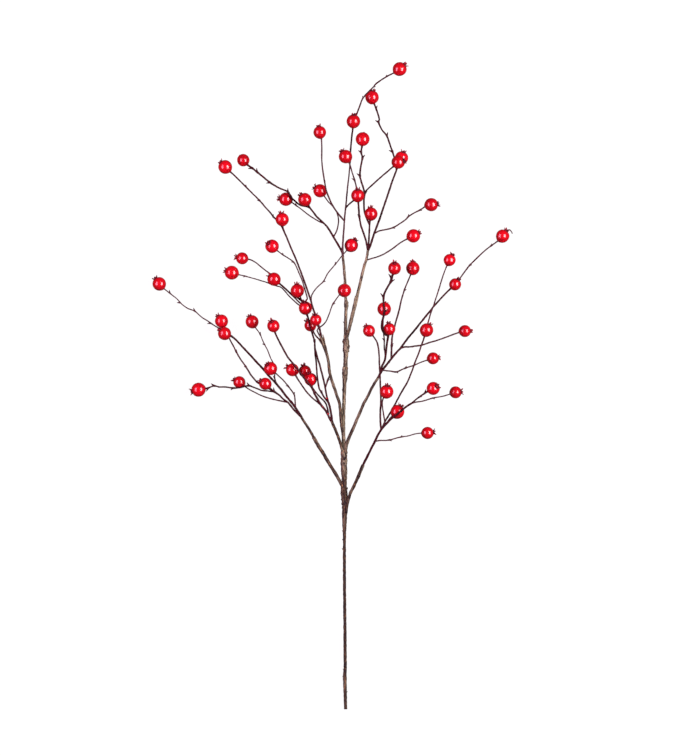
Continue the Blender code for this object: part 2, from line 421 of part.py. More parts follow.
def put(name, mesh, collection):
    """A closed mesh as an object, its faces pointing out."""
    form = bmesh.new()
    form.from_mesh(mesh)
    bmesh.ops.remove_doubles(form, verts=form.verts, dist=1e-6)
    bmesh.ops.recalc_face_normals(form, faces=form.faces)
    form.to_mesh(mesh)
    form.free()
    made = bpy.data.objects.new(name, mesh)
    collection.objects.link(made)
    return made


def tube(name, line, sides, collection, finish, extra=0.0):
    """A tapering round bar along a line of points (x, y, height, thickness)."""
    data = bpy.data.curves.new(name, "CURVE")
    data.dimensions = "3D"
    data.bevel_depth = UNIT
    data.bevel_resolution = (sides - 4) // 2
    data.render_resolution_u = 0
    data.use_fill_caps = True
    spline = data.splines.new("POLY")
    spline.points.add(len(line) - 1)
    for point, where in zip(spline.points, line):
        point.co = (*place(*where.xyz), 1)
        point.radius = where.w / 2 + extra / UNIT
    guide = bpy.data.objects.new(name, data)
    collection.objects.link(guide)
    shape = guide.evaluated_get(bpy.context.evaluated_depsgraph_get())
    mesh = bpy.data.meshes.new_from_object(shape)
    made = put(name, mesh, collection)
    made.matrix_world = guide.matrix_world
    made.data.materials.clear()
    made.data.materials.append(finish)
    bpy.data.objects.remove(guide)
    return made


def twig_line(foot, tip, route, hip):
    """The line of a twig with its thickness, sunk into the hip at its end."""
    points = [Vector(point[:3]) for point in route]
    if hip:
        centre = Vector(hip[:3])
        inward = (points[-1] - centre).normalized()
        points.append(centre + inward * hip[3] * HIP_ROOT)
    last = len(points) - 1
    for i, point in enumerate(points):
        points[i] = Vector((*point, foot + (tip - foot) * i / last))
    return smooth_line(points, RING_STEP)


def add_hip(name, hip, collection, finish):
    """One hip, its crown along its own direction."""
    radius = hip[3] * UNIT
    form = bmesh.new()
    bmesh.ops.create_uvsphere(form, u_segments=HIP_SEGMENTS, v_segments=HIP_RINGS, radius=radius)
    bmesh.ops.scale(form, vec=(1, 1, HIP_STRETCH), verts=form.verts)
    mesh = bpy.data.meshes.new(name)
    form.to_mesh(mesh)
    form.free()
    mesh.transform(heading(hip[4]).to_track_quat("Z", "Y").to_matrix().to_4x4())
    made = put(name, mesh, collection)
    made.location = place(*hip[:3])
    made.data.materials.append(finish)
    return made


def add_spike(name, start, direction, length, root, width, sides, collection, finish):
    """A pointed cone that starts a root's depth under the point it stands on."""
    form = bmesh.new()
    bmesh.ops.create_cone(form, cap_ends=True, segments=sides, radius1=width * UNIT / 2,
                          radius2=0, depth=(length + root) * UNIT)
    bmesh.ops.translate(form, vec=(0, 0, (length - root) * UNIT / 2), verts=form.verts)
    mesh = bpy.data.meshes.new(name)
    form.to_mesh(mesh)
    form.free()
    mesh.transform(direction.to_track_quat("Z", "Y").to_matrix().to_4x4())
    made = put(name, mesh, collection)
    made.location = start
    made.data.materials.append(finish)
    return made


def add_crown(name, hip, collection, finish):
    """The dried sepals that stand splayed round the end of a hip."""
    axis = heading(hip[4])
    across = axis.orthogonal().normalized()
    around = axis.cross(across)
    for i in range(SEPALS):
        turn = math.tau * (i + 0.5) / SEPALS
        outward = across * math.cos(turn) + around * math.sin(turn)
        foot = axis * math.sqrt(1 - SEPAL_RING ** 2) + outward * SEPAL_RING
        start = place(*hip[:3]) + foot * hip[3] * UNIT
        direction = axis * math.cos(SEPAL_SPLAY) + outward * math.sin(SEPAL_SPLAY)
        add_spike(f"{name}_sepal_{i}", start, direction, SEPAL_LENGTH, SEPAL_ROOT,
                  SEPAL_WIDTH, 3, collection, finish)


def add_bud(name, line, where, side, collection, finish):
    """A pointed bud that leans off a twig to its right (1) or its left (-1)."""
    where = Vector(where)
    spots = []
    for a, b in zip(line, line[1:]):
        share = intersect_point_line(where, a.xyz, b.xyz)[1]
        spots.append((a.xyz.lerp(b.xyz, min(max(share, 0), 1)), b.xyz - a.xyz))
    spot, way = min(spots, key=lambda found: (found[0] - where).length)
    along = heading(way)
    sideways = along.cross(Vector((0, 0, 1))).normalized() * side
    direction = along * math.cos(BUD_LEAN) + sideways * math.sin(BUD_LEAN)
    add_spike(name, place(*spot), direction, BUD_LENGTH, BUD_ROOT, BUD_WIDTH, 3,
              collection, finish)


def add_twigs(name, twigs, collection, wood, skin):
    """All twigs of a spray with their buds, hips and crowns."""
    for i, (foot, tip, route, hip) in enumerate(twigs):
        line = twig_line(foot, tip, route, hip)
        tube(f"{name}_twig_{i}", line, 6, collection, wood)
        for k, point in enumerate(route):
            if len(point) == 4:
                add_bud(f"{name}_bud_{i}_{k}", line, point[:3], point[3], collection, wood)
        if hip:
            add_hip(f"{name}_hip_{i}", hip, collection, skin)
            add_crown(f"{name}_{i}", hip, collection, wood)


def fuse(name, members, finish):
    """Everything in a collection as one closed body."""
    objects = list(members.objects)
    body = objects[0]
    members.objects.unlink(body)
    sprig.objects.link(body)
    body.name = name
    for skin in (finish, hip_skin):
        if skin.name not in body.data.materials:
            body.data.materials.append(skin)
    union = body.modifiers.new("union", "BOOLEAN")
    union.operation = "UNION"
    union.operand_type = "COLLECTION"
    union.collection = members
    union.solver = "MANIFOLD"
    union.material_mode = "TRANSFER"
    shape = body.evaluated_get(bpy.context.evaluated_depsgraph_get())
    mesh = bpy.data.meshes.new_from_object(shape)
    body.modifiers.remove(union)
    body.data = mesh
    for member in objects[1:]:
        bpy.data.objects.remove(member)
    bpy.data.collections.remove(members)
    mesh.shade_smooth()
    mesh.set_sharp_from_angle(angle=math.radians(50))
    return body


def cut(body, tool):
    """Takes the tool's space out of a body."""
    difference = body.modifiers.new("cut_" + tool.name, "BOOLEAN")
    difference.object = tool
    difference.solver = "MANIFOLD"


for old in list(bpy.data.objects):
    bpy.data.objects.remove(old)

sprig = new_collection("rose_hip_sprig")
cutters = new_collection("cutters")

wood = material("dark_twig_bark", WOOD_COLOUR, 0.6)
bark = material("brown_stem_bark", BARK_COLOUR, 0.8)
hip_skin = material("red_hip_skin", HIP_COLOUR, 0.2)

# The stem goes on as the leader and carries the top hips itself.
stem_line = smooth_line([Vector(point) for point in STEM], STEM_RING_STEP)
members = new_collection("main_stem_members")
tube("main_stem", stem_line, 8, members, bark)
add_hip("stem_hip", STEM_HIP, members, hip_skin)
add_crown("stem", STEM_HIP, members, wood)
add_twigs("top", TOP_TWIGS, members, wood, hip_skin)
for i, (x, y, height, side) in enumerate(STEM_BUDS):
    add_bud(f"stem_bud_{i}", stem_line, (x, y, height), side, members, wood)
main_stem = fuse("main_stem", members, bark)

# Each side spray is coped to the stem, and clears it all round.
stem_cutter = tube("stem_cutter", stem_line, 8, cutters, bark, CLEARANCE)
sprays = []
for name, twigs in SPRAYS.items():
    members = new_collection(name + "_members")
    add_twigs(name, twigs, members, wood, hip_skin)
    spray = fuse(name, members, wood)
    cut(spray, stem_cutter)
    sprays.append(spray)

# The lowest hips and the cut end have small flat spots where the sprig lies.
bpy.ops.mesh.primitive_cube_add(size=1)
surface = bpy.context.object
surface.name = "surface_cutter"
surface.dimensions = (SPRIG_LENGTH, SPRIG_LENGTH * 1.2, 0.05)
surface.location = (0, 0, -0.025)
for holder in list(surface.users_collection):
    holder.objects.unlink(surface)
cutters.objects.link(surface)
for body in [main_stem, *sprays]:
    cut(body, surface)

for tool in cutters.objects:
    tool.hide_render = True
    tool.display_type = "WIRE"
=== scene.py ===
"""How the rose hip sprig looks: bark, twigs, buds, glossy hips and dried crowns.

The sprig is drawn on the same plan as its solids: x runs to the right and y down the
sheet, the third number of a point is its height over the surface it lies on, and the
fourth is a thickness, all in plan units. The sections follow the sprig as it grows.
"""

import math
import random

import bmesh
import bpy
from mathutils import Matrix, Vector, noise
from mathutils.geometry import intersect_point_line


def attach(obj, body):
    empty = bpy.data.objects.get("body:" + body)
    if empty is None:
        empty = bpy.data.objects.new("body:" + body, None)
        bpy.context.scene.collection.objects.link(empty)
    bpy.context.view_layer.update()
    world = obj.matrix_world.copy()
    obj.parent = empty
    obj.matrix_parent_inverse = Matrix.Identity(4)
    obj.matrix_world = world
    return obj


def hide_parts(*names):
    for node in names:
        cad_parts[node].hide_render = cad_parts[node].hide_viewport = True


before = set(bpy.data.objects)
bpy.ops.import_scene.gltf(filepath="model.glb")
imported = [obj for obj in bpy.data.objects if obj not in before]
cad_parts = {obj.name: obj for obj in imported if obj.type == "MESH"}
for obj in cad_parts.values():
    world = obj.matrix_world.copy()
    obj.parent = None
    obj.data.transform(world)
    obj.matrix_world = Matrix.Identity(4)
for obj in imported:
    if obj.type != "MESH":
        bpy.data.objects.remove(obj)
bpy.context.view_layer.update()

# The stem
# One woody bar from the cut end to the leader's tip. It is a dried shoot whose brown bark
# has shrunk into lengthwise streaks, swollen where sprays are bound on.

SPRIG_LENGTH = 0.750          # metres from the cut end to the highest tip
PLAN_LENGTH = 648.2           # the same length on the plan
UNIT = SPRIG_LENGTH / PLAN_LENGTH
PLAN_CENTRE = (332.0, 385.35)
CURVE_STEPS = 8               # points read between two given ones

STEM_STEP = 1.5               # plan units between the rings of the bar
STEM_SIDES = 20
STEM_RELIEF = 0.20            # how uneven the bark is, as a share of its radius
STEM_GRAIN = 3.0              # plan units along the stem from one swelling to the next
ROUND_GRAIN = 1.4             # the same round it: the more, the narrower the swellings
FINE_GRAIN = 2.3              # the smaller swellings among them: how much narrower
FINE_RELIEF = 0.5             # and how much lower
BAR_SHIFT = 0.37              # sets the swellings of each bar apart from the next one's
BARK_SHIFT = 9                # and how much more the bark's pattern is set apart

# The bark is darkest low on the stem and paler up it: where each reach starts and ends,
# by the plan's y, its tone, and how much its bark adds to the thickness or has worn off.
STEM_REACHES = [
    (710.0, 664.0, -0.1, 0.1), (668.0, 533.0, -0.4, 0.35), (540.0, 450.0, 0.1, 0.2),
    (455.0, 372.0, 0.65, 0.5), (378.0, 256.0, 0.9, -0.25),
]

# torn nubs of bark on the stem: where they are, and to which side they point
STEM_NUBS = [
    (343, 324, 38, -0.8), (347, 305, 40, 0.8), (343, 533, 16, -0.8), (343, 541.5, 15.5, -0.7),
    (343, 551, 14.8, -0.8), (343, 671.5, 3.8, -0.7), (343, 679, 3.3, -0.7), (347, 694, 2.4, 0.7),
    (342, 424, 28, -0.9), (342, 434, 27, -0.7), (343, 392, 31.4, -0.8),
]
NUB_TONE = 0.3

# a full bud: how far along it, and how wide it is there, in plan units
BUD_SHAPE = [(-0.9, 1.3), (0.0, 2.0), (0.9, 2.0), (1.8, 1.6), (2.7, 1.15), (3.6, 0.75), (4.2, 0.3)]
LEAST_LENGTH = 0.35           # what is left of its length in a bare swelling
LEAST_WIDTH = 0.6             # and of its width
BUD_LEAN = math.radians(46)
BUD_SIDES = 8
BUD_RELIEF = 0.08
BUD_GRAIN = 1.0

# From the cut end to the tip: x, y, height, thickness.
STEM = [
    (345.6, 709.7, 1.4, 3.2), (345.3, 694, 2.4, 3.2), (344.8, 678, 3.3, 3.8),
    (345.2, 667, 4.0, 3.0), (345.0, 640, 6.5, 2.9), (344.7, 605, 9.8, 2.8),
    (344.4, 570, 13.0, 2.8), (344.4, 548, 15.0, 2.8), (344.5, 534, 16.0, 3.0),
    (344.5, 526, 16.6, 4.2), (344.6, 518, 17.4, 4.8), (344.8, 509, 18.2, 5.6),
    (344.9, 501, 18.9, 6.0), (344.0, 491, 20.2, 6.2), (344.3, 481, 21.3, 4.7),
    (344.0, 470, 22.6, 5.6), (344.0, 453, 24.8, 5.9), (343.7, 442, 26.0, 3.4),
    (343.3, 428, 27.6, 3.6), (343.3, 414, 29.2, 3.6), (344.0, 402, 30.4, 3.1),
    (344.4, 386, 32.0, 3.5), (345.0, 373, 33.3, 4.9), (345.7, 360, 34.6, 4.5),
    (346.0, 350, 35.6, 5.8), (346.0, 341, 36.4, 5.6), (345.5, 333, 37.0, 3.8),
    (345.5, 324, 38.0, 3.5), (345.9, 312, 39.2, 3.5), (346.2, 304, 40.0, 3.9),
    (345.5, 296, 40.7, 3.0), (345.0, 282, 42.0, 3.2), (344.2, 270, 43.2, 3.0),
    (342.8, 256, 44.4, 2.7), (342.6, 248, 45.0, 2.3), (343.2, 238, 45.7, 2.1),
    (344.0, 228, 46.3, 2.0), (344.6, 218, 46.9, 1.9), (345.6, 208, 47.5, 1.85),
    (346.5, 199, 48.0, 1.8), (347.6, 187, 48.7, 1.7), (349.0, 175, 49.3, 1.65),
    (350.1, 162, 50.0, 1.6), (350.6, 150, 50.7, 1.5), (351.6, 139, 51.5, 1.4),
    (352.7, 130, 52.5, 1.4), (355.0, 119, 54.0, 1.3), (357.0, 113.5, 54.5, 1.3),
    (360.0, 105.5, 55.2, 1.3), (363.0, 98.2, 56.0, 1.3), (369.0, 91.5, 57.0, 1.25),
    (373.5, 87, 57.6, 1.25), (376.5, 83.5, 58.0, 1.25), (386.0, 77.2, 59.0, 1.25),
    (394.0, 73, 59.6, 1.25), (397.0, 71, 59.8, 1.25),
]


def place(x, y, height):
    """A point of the plan, in metres."""
    return Vector(((x - PLAN_CENTRE[0]) * UNIT, (PLAN_CENTRE[1] - y) * UNIT, height * UNIT))


def heading(direction):
    """A direction on the plan, as a unit vector."""
    return Vector((direction[0], -direction[1], direction[2])).normalized()


def smooth_line(points, step):
    """Points a step apart on a smooth curve through the given ones."""
    ends = [points[0] * 2 - points[1]] + points + [points[-1] * 2 - points[-2]]
    fine = [points[0]]
    for a, b, c, d in zip(ends, ends[1:], ends[2:], ends[3:]):
        for i in range(1, CURVE_STEPS + 1):
            t = i / CURVE_STEPS
            fine.append(0.5 * (2 * b + (c - a) * t + (2 * a - 5 * b + 4 * c - d) * t ** 2
                               + (3 * b - a - 3 * c + d) * t ** 3))
    along = [0.0]
    for a, b in zip(fine, fine[1:]):
        along.append(along[-1] + (b.xyz - a.xyz).length)
    count = max(2, round(along[-1] / step))
    line = [fine[0]]
    k = 1
    for i in range(1, count):
        wanted = along[-1] * i / count
        while along[k] < wanted:
            k += 1
        share = (wanted - along[k - 1]) / (along[k] - along[k - 1])
        line.append(fine[k - 1].lerp(fine[k], share))
    line.append(fine[-1])
    return line


def new_form():
    """An empty mesh. Its points carry a tone, how far along their piece they are, and
    their place in the bark's own grain: round the bar, and along it."""
    form = bmesh.new()
    form.verts.layers.float.new("tone")
    form.verts.layers.float.new("along")
    form.verts.layers.float_vector.new("grain")
    return form


def add_rings(form, rings, tone, alongs, grains=None):
    """Skins rings of points, each as long as the last, and closes both ends."""
    tone_layer = form.verts.layers.float["tone"]
    along_layer = form.verts.layers.float["along"]
    grain_layer = form.verts.layers.float_vector["grain"]
    made = []
    for i, (ring, along) in enumerate(zip(rings, alongs)):
        row = []
        for k, point in enumerate(ring):
            vert = form.verts.new(point)
            vert[tone_layer] = tone
            vert[along_layer] = along
            if grains:
                vert[grain_layer] = grains[i][k]
            row.append(vert)
        made.append(row)
    for low, high in zip(made, made[1:]):
        for k in range(len(low)):
            n = (k + 1) % len(low)
            form.faces.new((low[k], low[n], high[n], high[k]))
    for row, turned in ((made[0], True), (made[-1], False)):
        middle = form.verts.new(sum((vert.co for vert in row), Vector()) / len(row))
        middle[tone_layer] = tone
        middle[along_layer] = row[0][along_layer]
        middle[grain_layer] = row[0][grain_layer]
        for k in range(len(row)):
            n = (k + 1) % len(row)
            pair = (row[n], row[k]) if turned else (row[k], row[n])
            form.faces.new((*pair, middle))


def add_bar(form, line, sides, tone, relief, grain):
    """Adds a closed, uneven bar along a line of points with a thickness."""
    shift = Vector((line[0].x, line[0].y, 0)) * BAR_SHIFT
    side = None
    rings = []
    alongs = []
    grains = []
    run = 0.0
    for i, point in enumerate(line):
        before = line[max(i - 1, 0)]
        after = line[min(i + 1, len(line) - 1)]
        way = heading(after.xyz - before.xyz)
        side = way.orthogonal() if side is None else side - way * side.dot(way)
        side.normalize()
        other = way.cross(side)
        centre = place(*point.xyz)
        run += (point.xyz - before.xyz).length
        ring = []
        grain_ring = []
        for k in range(sides):
            turn = math.tau * k / sides
            outward = side * math.cos(turn) + other * math.sin(turn)
            spot = outward * ROUND_GRAIN + way * run / grain + shift
            uneven = noise.noise(spot) + FINE_RELIEF * noise.noise(spot * FINE_GRAIN)
            ring.append(centre + outward * point.w * UNIT / 2 * (1 + relief * uneven))
            level = Vector((math.cos(turn), math.sin(turn), 0)) * point.w / 2
            grain_ring.append((level + shift * BARK_SHIFT + Vector((0, 0, run))) * UNIT)
        rings.append(ring)
        alongs.append(i / (len(line) - 1))
        grains.append(grain_ring)
    add_rings(form, rings, tone, alongs, grains)


def add_reach(form, low, high, bark, sides, tone, relief, grain):
    """Adds the stem's stretch between two of the plan's y, its thickness changed by bark."""
    reach = [point.copy() for point in stem_line if high <= point.y <= low]
    for point in reach:
        point.w += bark
    add_bar(form, reach, sides, tone, relief, grain)


def add_nub(form, line, where, side, tone):
    """A bud or a nub of bark that leans off a bar to its right (side over 0) or its left
    (under 0): a full pointed one where side is 1 or -1, down to a bare swelling near 0."""
    size = abs(side)
    where = Vector(where)
    spots = []
    for a, b in zip(line, line[1:]):
        share = intersect_point_line(where, a.xyz, b.xyz)[1]
        spots.append((a.xyz.lerp(b.xyz, min(max(share, 0), 1)), b.xyz - a.xyz))
    spot, way = min(spots, key=lambda found: (found[0] - where).length)
    along = way.normalized()
    sideways = along.cross(Vector((0, 0, 1))).normalized() * -math.copysign(1, side)
    direction = along * math.cos(BUD_LEAN) + sideways * math.sin(BUD_LEAN)
    long = LEAST_LENGTH + (1 - LEAST_LENGTH) * size
    wide = LEAST_WIDTH + (1 - LEAST_WIDTH) * size
    bud = [Vector((*(spot + direction * reach * long), width * wide)) for reach, width in BUD_SHAPE]
    add_bar(form, bud, BUD_SIDES, tone, BUD_RELIEF, BUD_GRAIN)


def finish_piece(form, name, material, node):
    """The filled form as a piece that stands for a solid of the sprig."""
    for vert in form.verts:
        vert.co.z = max(vert.co.z, 0.0)
    bmesh.ops.recalc_face_normals(form, faces=form.faces)
    mesh = bpy.data.meshes.new(name)
    form.to_mesh(mesh)
    form.free()
    mesh.shade_smooth()
    mesh.materials.append(material)
    piece = bpy.data.objects.new(name, mesh)
    bpy.context.scene.collection.objects.link(piece)
    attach(piece, "root")
    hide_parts(node)


def linear(colour):
    """An sRGB hex colour as the linear values a shader takes."""
    values = [int(colour[i:i + 2], 16) / 255 for i in (1, 3, 5)]
    return (*(v / 12.92 if v <= 0.04045 else ((v + 0.055) / 1.055) ** 2.4 for v in values), 1)


def set_inputs(node, inputs):
    """Gives inputs of a shader node a value each, an output, or a node's first output."""
    named = {socket.name: socket for socket in node.inputs if socket.enabled}
    for name, value in inputs.items():
        socket = node.inputs[name] if isinstance(name, int) else named[name]
        if isinstance(value, bpy.types.Node):
            value = next(output for output in value.outputs if output.enabled)
        if isinstance(value, bpy.types.NodeSocket):
            node.id_data.links.new(value, socket)
        else:
            socket.default_value = value


def add_node(tree, kind, inputs=None, **settings):
    """A shader node with its settings and inputs."""
    made = tree.nodes.new("ShaderNode" + kind)
    for name, value in settings.items():
        setattr(made, name, value)
    set_inputs(made, inputs or {})
    return made


def new_material(name):
    """A material, its tree, and its plain surface, to be dressed by set_inputs."""
    made = bpy.data.materials.new(name)
    made.use_nodes = True
    return made, made.node_tree, made.node_tree.nodes["Principled BSDF"]


# Dried stem bark, shrunk on the shoot: matt fibres a millimetre wide and a centimetre
# long, from purple-brown to tan, with darker scars between them and ochre where it frays.
stem_bark, tree, surface = new_material("dried_stem_bark")
grain = add_node(tree, "Attribute", attribute_name="grain").outputs["Vector"]
tone = add_node(tree, "Attribute", attribute_name="tone").outputs["Fac"]

# Its patterns: how wide and how long their marks are, in metres, their place in the grain,
# their detail and roughness, where in the noise they fade in, and from what to what.
BARK_PATTERNS = {
    "fibres": (0.0011, 0.013, (0, 0, 0), 4.0, 0.65, 0.42, 0.58, 0.0, 1.0),
    "scars": (0.0022, 0.007, (0, 0, 0), 3.0, 0.5, 0.50, 0.62, 0.0, 1.0),
    "frays": (0.0022, 0.007, (5, 3, 1), 3.0, 0.5, 0.60, 0.74, 0.0, 1.0),
    "patches": (0.005, 0.016, (2, 9, 4), 2.0, 0.5, 0.35, 0.65, -0.4, 0.4),
}
marks = {}
shares = {}
for name, (width, length, spot, detail, rough, low, high, least, most) in BARK_PATTERNS.items():
    stretched = add_node(tree, "Mapping", {"Vector": grain, "Location": spot,
                                           "Scale": (1 / width, 1 / width, 1 / length)})
    marks[name] = add_node(tree, "TexNoise", {"Vector": stretched, "Scale": 1.0, "Detail": detail,
                                              "Roughness": rough})
    shares[name] = add_node(tree, "MapRange", {"Value": marks[name], "From Min": low,
                                               "From Max": high, "To Min": least, "To Max": most})
pale_share = add_node(tree, "Math", {0: tone, 1: shares["patches"]}, operation="ADD", use_clamp=True)
brown = add_node(tree, "Mix", {"Factor": shares["fibres"], "A": linear("#190c08"),
                               "B": linear("#44301f")}, data_type="RGBA")
pale = add_node(tree, "Mix", {"Factor": shares["fibres"], "A": linear("#42392f"),
                              "B": linear("#98886e")}, data_type="RGBA")
toned = add_node(tree, "Mix", {"Factor": pale_share, "A": brown, "B": pale}, data_type="RGBA")
frayed = add_node(tree, "Mix", {"Factor": shares["frays"], "A": toned, "B": linear("#8f6a45")},
                  data_type="RGBA")
scar_fade = add_node(tree, "MapRange", {"Value": pale_share, "To Min": 1.0, "To Max": 0.6})
scar_dark = add_node(tree, "Math", {0: shares["scars"], 1: scar_fade}, operation="MULTIPLY")
scarred = add_node(tree, "Mix", {"Factor": scar_dark, "A": frayed, "B": linear("#1c1012")},
                   data_type="RGBA")
relief = add_node(tree, "Math", {0: marks["fibres"], 1: marks["scars"]}, operation="SUBTRACT")
ridges = add_node(tree, "Bump", {"Height": relief, "Strength": 1.0, "Distance": 0.0008})
set_inputs(surface, {"Base Color": scarred, "Roughness": 0.75, "IOR": 1.45,
                     "Specular IOR Level": 0.25, "Normal": ridges})

stem_line = smooth_line([Vector(point) for point in STEM], STEM_STEP)
form = new_form()
for low, high, tone, bark in STEM_REACHES:
    add_reach(form, low, high, bark, STEM_SIDES, tone, STEM_RELIEF, STEM_GRAIN)
for x, y, height, side in STEM_NUBS:
    add_nub(form, stem_line, (x, y, height), side, NUB_TONE)
finish_piece(form, "main_stem_bar", stem_bark, "main_stem")

# The wraps
# Bark bound round the stem over the foot of each pair of sprays. Its ends stand a little
# proud and are torn ragged.

WRAP_STANDS = 0.5             # plan units that a wrap adds to the stem's thickness
WRAP_RELIEF = 0.30
WRAP_GRAIN = 2.2

# where each wrap starts and ends, by the plan's y, and its tone
STEM_WRAPS = [
    (506.0, 486.0, 0.15), (480.0, 449.0, 0.6), (376.0, 366.0, 0.6),
    (353.0, 338.0, 0.95), (308.0, 301.0, 0.6),
]

form = new_form()
for low, high, tone in STEM_WRAPS:
    add_reach(form, low, high, WRAP_STANDS, STEM_SIDES, tone, WRAP_RELIEF, WRAP_GRAIN)
finish_piece(form, "main_stem_wraps", stem_bark, "main_stem")

# The leader's twigs
# Wiry dried shoots with a pointed bud here and there. They fork off the stem, and each
# flares into the base of the hip that it carries.

TWIG_STEP = 2.2
TWIG_BARK = 0.42              # plan units that its bark adds to a twig's thickness
TWIG_SIDES = 10
TWIG_RELIEF = 0.24
TWIG_GRAIN = 2.0
THICK_TWIG = 1.5              # a twig this thick at its tip is dark
THIN_TWIG = 0.7               # and one this thin has weathered grey
TONE_STRAY = 0.15             # how far a twig's tone strays from that
HIP_ROOT = 0.6                # how deep a twig goes into its hip, as a share of the radius
FLARE = 0.35                  # how much wider a twig is where it meets its hip
FLARE_REACH = 1.3             # plan units over which the flare dies away
NODE_SWELLING = 0.45          # a twig's swelling under a bud
NODE_REACH = 1.2              # plan units over which it dies away

# The stem's last reaches are as thin and smooth as a twig: as in STEM_REACHES. The lower
# one has lost its bark and is grey.
LEADER_REACHES = [(262.0, 157.0, 1.0, -0.2), (163.0, 60.0, 0.5, 0.3)]

# Every twig is its thickness at the foot and at the tip, its route and its hip. A route
# point is x, y and height, and where a bud sits a fourth number, its side as in add_nub.
# A hip is x, y, height, radius and the direction of its crown, or None.
TOP_TWIGS = [
    (1.3, 1.2, [(352.4, 132, 52.2), (352.9, 127.5, 55)], (353.4, 121.5, 60, 6.6, (0.5, -7, 2))),
    (1.3, 1.2, [(345.6, 208, 47.5), (349, 204.2, 47.6), (353, 201, 47.8), (358, 197, 48.3),
        (364, 192.5, 49.6), (370, 187, 51.5), (380, 178, 55), (387, 172, 58.5), (393, 167, 62)],
        (398.2, 162.3, 65, 6.4, (6, -1, 3))),
    (1.4, 1, [(344.4, 221, 46.7), (338, 213.5, 47.5), (332.5, 205.5, 48.5), (329.5, 199, 50),
        (327, 193, 52), (325.5, 187, 53), (323, 172, 55), (321.8, 160, 56.5), (321.8, 150, 58),
        (321.6, 140, 59)], (319.8, 132.5, 60, 6.1, (-1.5, -8, 1))),
    (1.8, 1.4, [(342.6, 253, 44.6), (340, 248, 44.2), (333.5, 237, 43), (328, 228, 42.2),
        (323, 222.5, 42), (317, 217, 41.8), (314, 213, 41.6), (310, 208, 41.5)],
        (304.8, 199.6, 45, 6.4, (-6, -7, 1))),
    (1.4, 1.4, [(310, 208, 41.5), (307, 206.5, 40.5), (301, 205.5, 39.6), (296, 202, 39.6),
        (291, 197, 41), (288, 192, 43, 1), (284.5, 190.2, 43.6), (279, 188, 44), (270, 182.5, 44.5, -1),
        (262, 176, 44.5), (257, 172, 44.5, 1), (252, 168, 44.3, -1), (248, 165.3, 44)],
        (243.3, 160.2, 43, 6.0, (-2, -2, -6))),
    (1, 0.75, [(323, 223, 42), (320, 222, 41), (314, 218.5, 39.5), (308, 214.5, 38), (301, 209, 36.5),
        (296, 205.3, 35.5, 0.45), (292, 202.5, 34.8)], (285.8, 199.2, 34, 6.5, (-7, -1, 1))),
    (1.05, 0.8, [(333.5, 237, 43), (337, 230, 41.5), (338.5, 221, 40.5), (337, 213, 40.5),
        (332.5, 206, 41), (328.5, 202, 42), (324.5, 196.5, 43)], (320, 190.8, 44, 6.4, (-6, -4, 1))),
]
STEM_BUDS = [
    (363.0, 98.2, 56.0, -0.35), (373.5, 87, 57.6, 0.35), (386.0, 77.2, 59.0, -0.35),
]
STEM_BUD_TONE = 0.2
TOP_SEED = 11


def twig_line(foot, tip, route, hip):
    """The line of a twig with its thickness, swollen at its buds and at its hip."""
    points = [Vector(point[:3]) for point in route]
    if hip:
        centre = Vector(hip[:3])
        inward = (points[-1] - centre).normalized()
        points.append(centre + inward * hip[3] * HIP_ROOT)
    last = len(points) - 1
    for i, point in enumerate(points):
        points[i] = Vector((*point, foot + (tip - foot) * i / last + TWIG_BARK))
    line = smooth_line(points, TWIG_STEP)
    buds = [Vector(point[:3]) for point in route if len(point) == 4]
    for point in line:
        swelling = sum(math.exp(-((point.xyz - bud).length / NODE_REACH) ** 2) for bud in buds)
        point.w *= 1 + NODE_SWELLING * min(swelling, 1)
        if hip:
            gap = max((point.xyz - centre).length - hip[3], 0)
            point.w *= 1 + FLARE * math.exp(-gap / FLARE_REACH)
    return line


def add_twigs(form, twigs, draw):
    """All thin twigs of a spray, with their buds."""
    for foot, tip, route, hip in twigs:
        line = twig_line(foot, tip, route, hip)
        tone = min(max((THICK_TWIG - tip) / (THICK_TWIG - THIN_TWIG), 0), 1)
        tone = min(max(tone + draw.uniform(-TONE_STRAY, TONE_STRAY), 0), 1)
        add_bar(form, line, TWIG_SIDES, tone, TWIG_RELIEF, TWIG_GRAIN)
        for point in route:
            if len(point) == 4:
                add_nub(form, line, point[:3], point[3], tone)


# Dried twig bark: a wine-brown skin, lightly waxed, with grey weathering in patches a
# few millimetres long.
WEATHER_WIDTH = 0.002         # metres
WEATHER_LENGTH = 0.006
SKIN_GRAIN = 0.0012
twig_bark, tree, surface = new_material("dried_twig_bark")
grain = add_node(tree, "Attribute", attribute_name="grain").outputs["Vector"]
tone = add_node(tree, "Attribute", attribute_name="tone").outputs["Fac"]
weather_scale = (1 / WEATHER_WIDTH, 1 / WEATHER_WIDTH, 1 / WEATHER_LENGTH)
weather_place = add_node(tree, "Mapping", {"Vector": grain, "Scale": weather_scale})
weather = add_node(tree, "TexNoise", {"Vector": weather_place, "Scale": 1.0, "Detail": 3.0})
fine = add_node(tree, "TexNoise", {"Vector": grain, "Scale": 1 / SKIN_GRAIN, "Detail": 2.0})
mixed = add_node(tree, "Math", {0: weather, 1: tone}, operation="MULTIPLY")
grey_share = add_node(tree, "MapRange", {"Value": mixed, "From Min": 0.15, "From Max": 0.60})
fine_share = add_node(tree, "MapRange", {"Value": fine, "From Min": 0.40, "From Max": 0.62})
wine_share = add_node(tree, "MapRange", {"Value": tone, "To Min": 0.5, "To Max": 1.0})
wine = add_node(tree, "Math", {0: fine_share, 1: wine_share}, operation="MULTIPLY")
deep = add_node(tree, "Mix", {"Factor": wine, "A": linear("#1c0206"), "B": linear("#520a16")},
                data_type="RGBA")
twig_colour = add_node(tree, "Mix", {"Factor": grey_share, "A": deep, "B": linear("#44292c")},
                       data_type="RGBA")
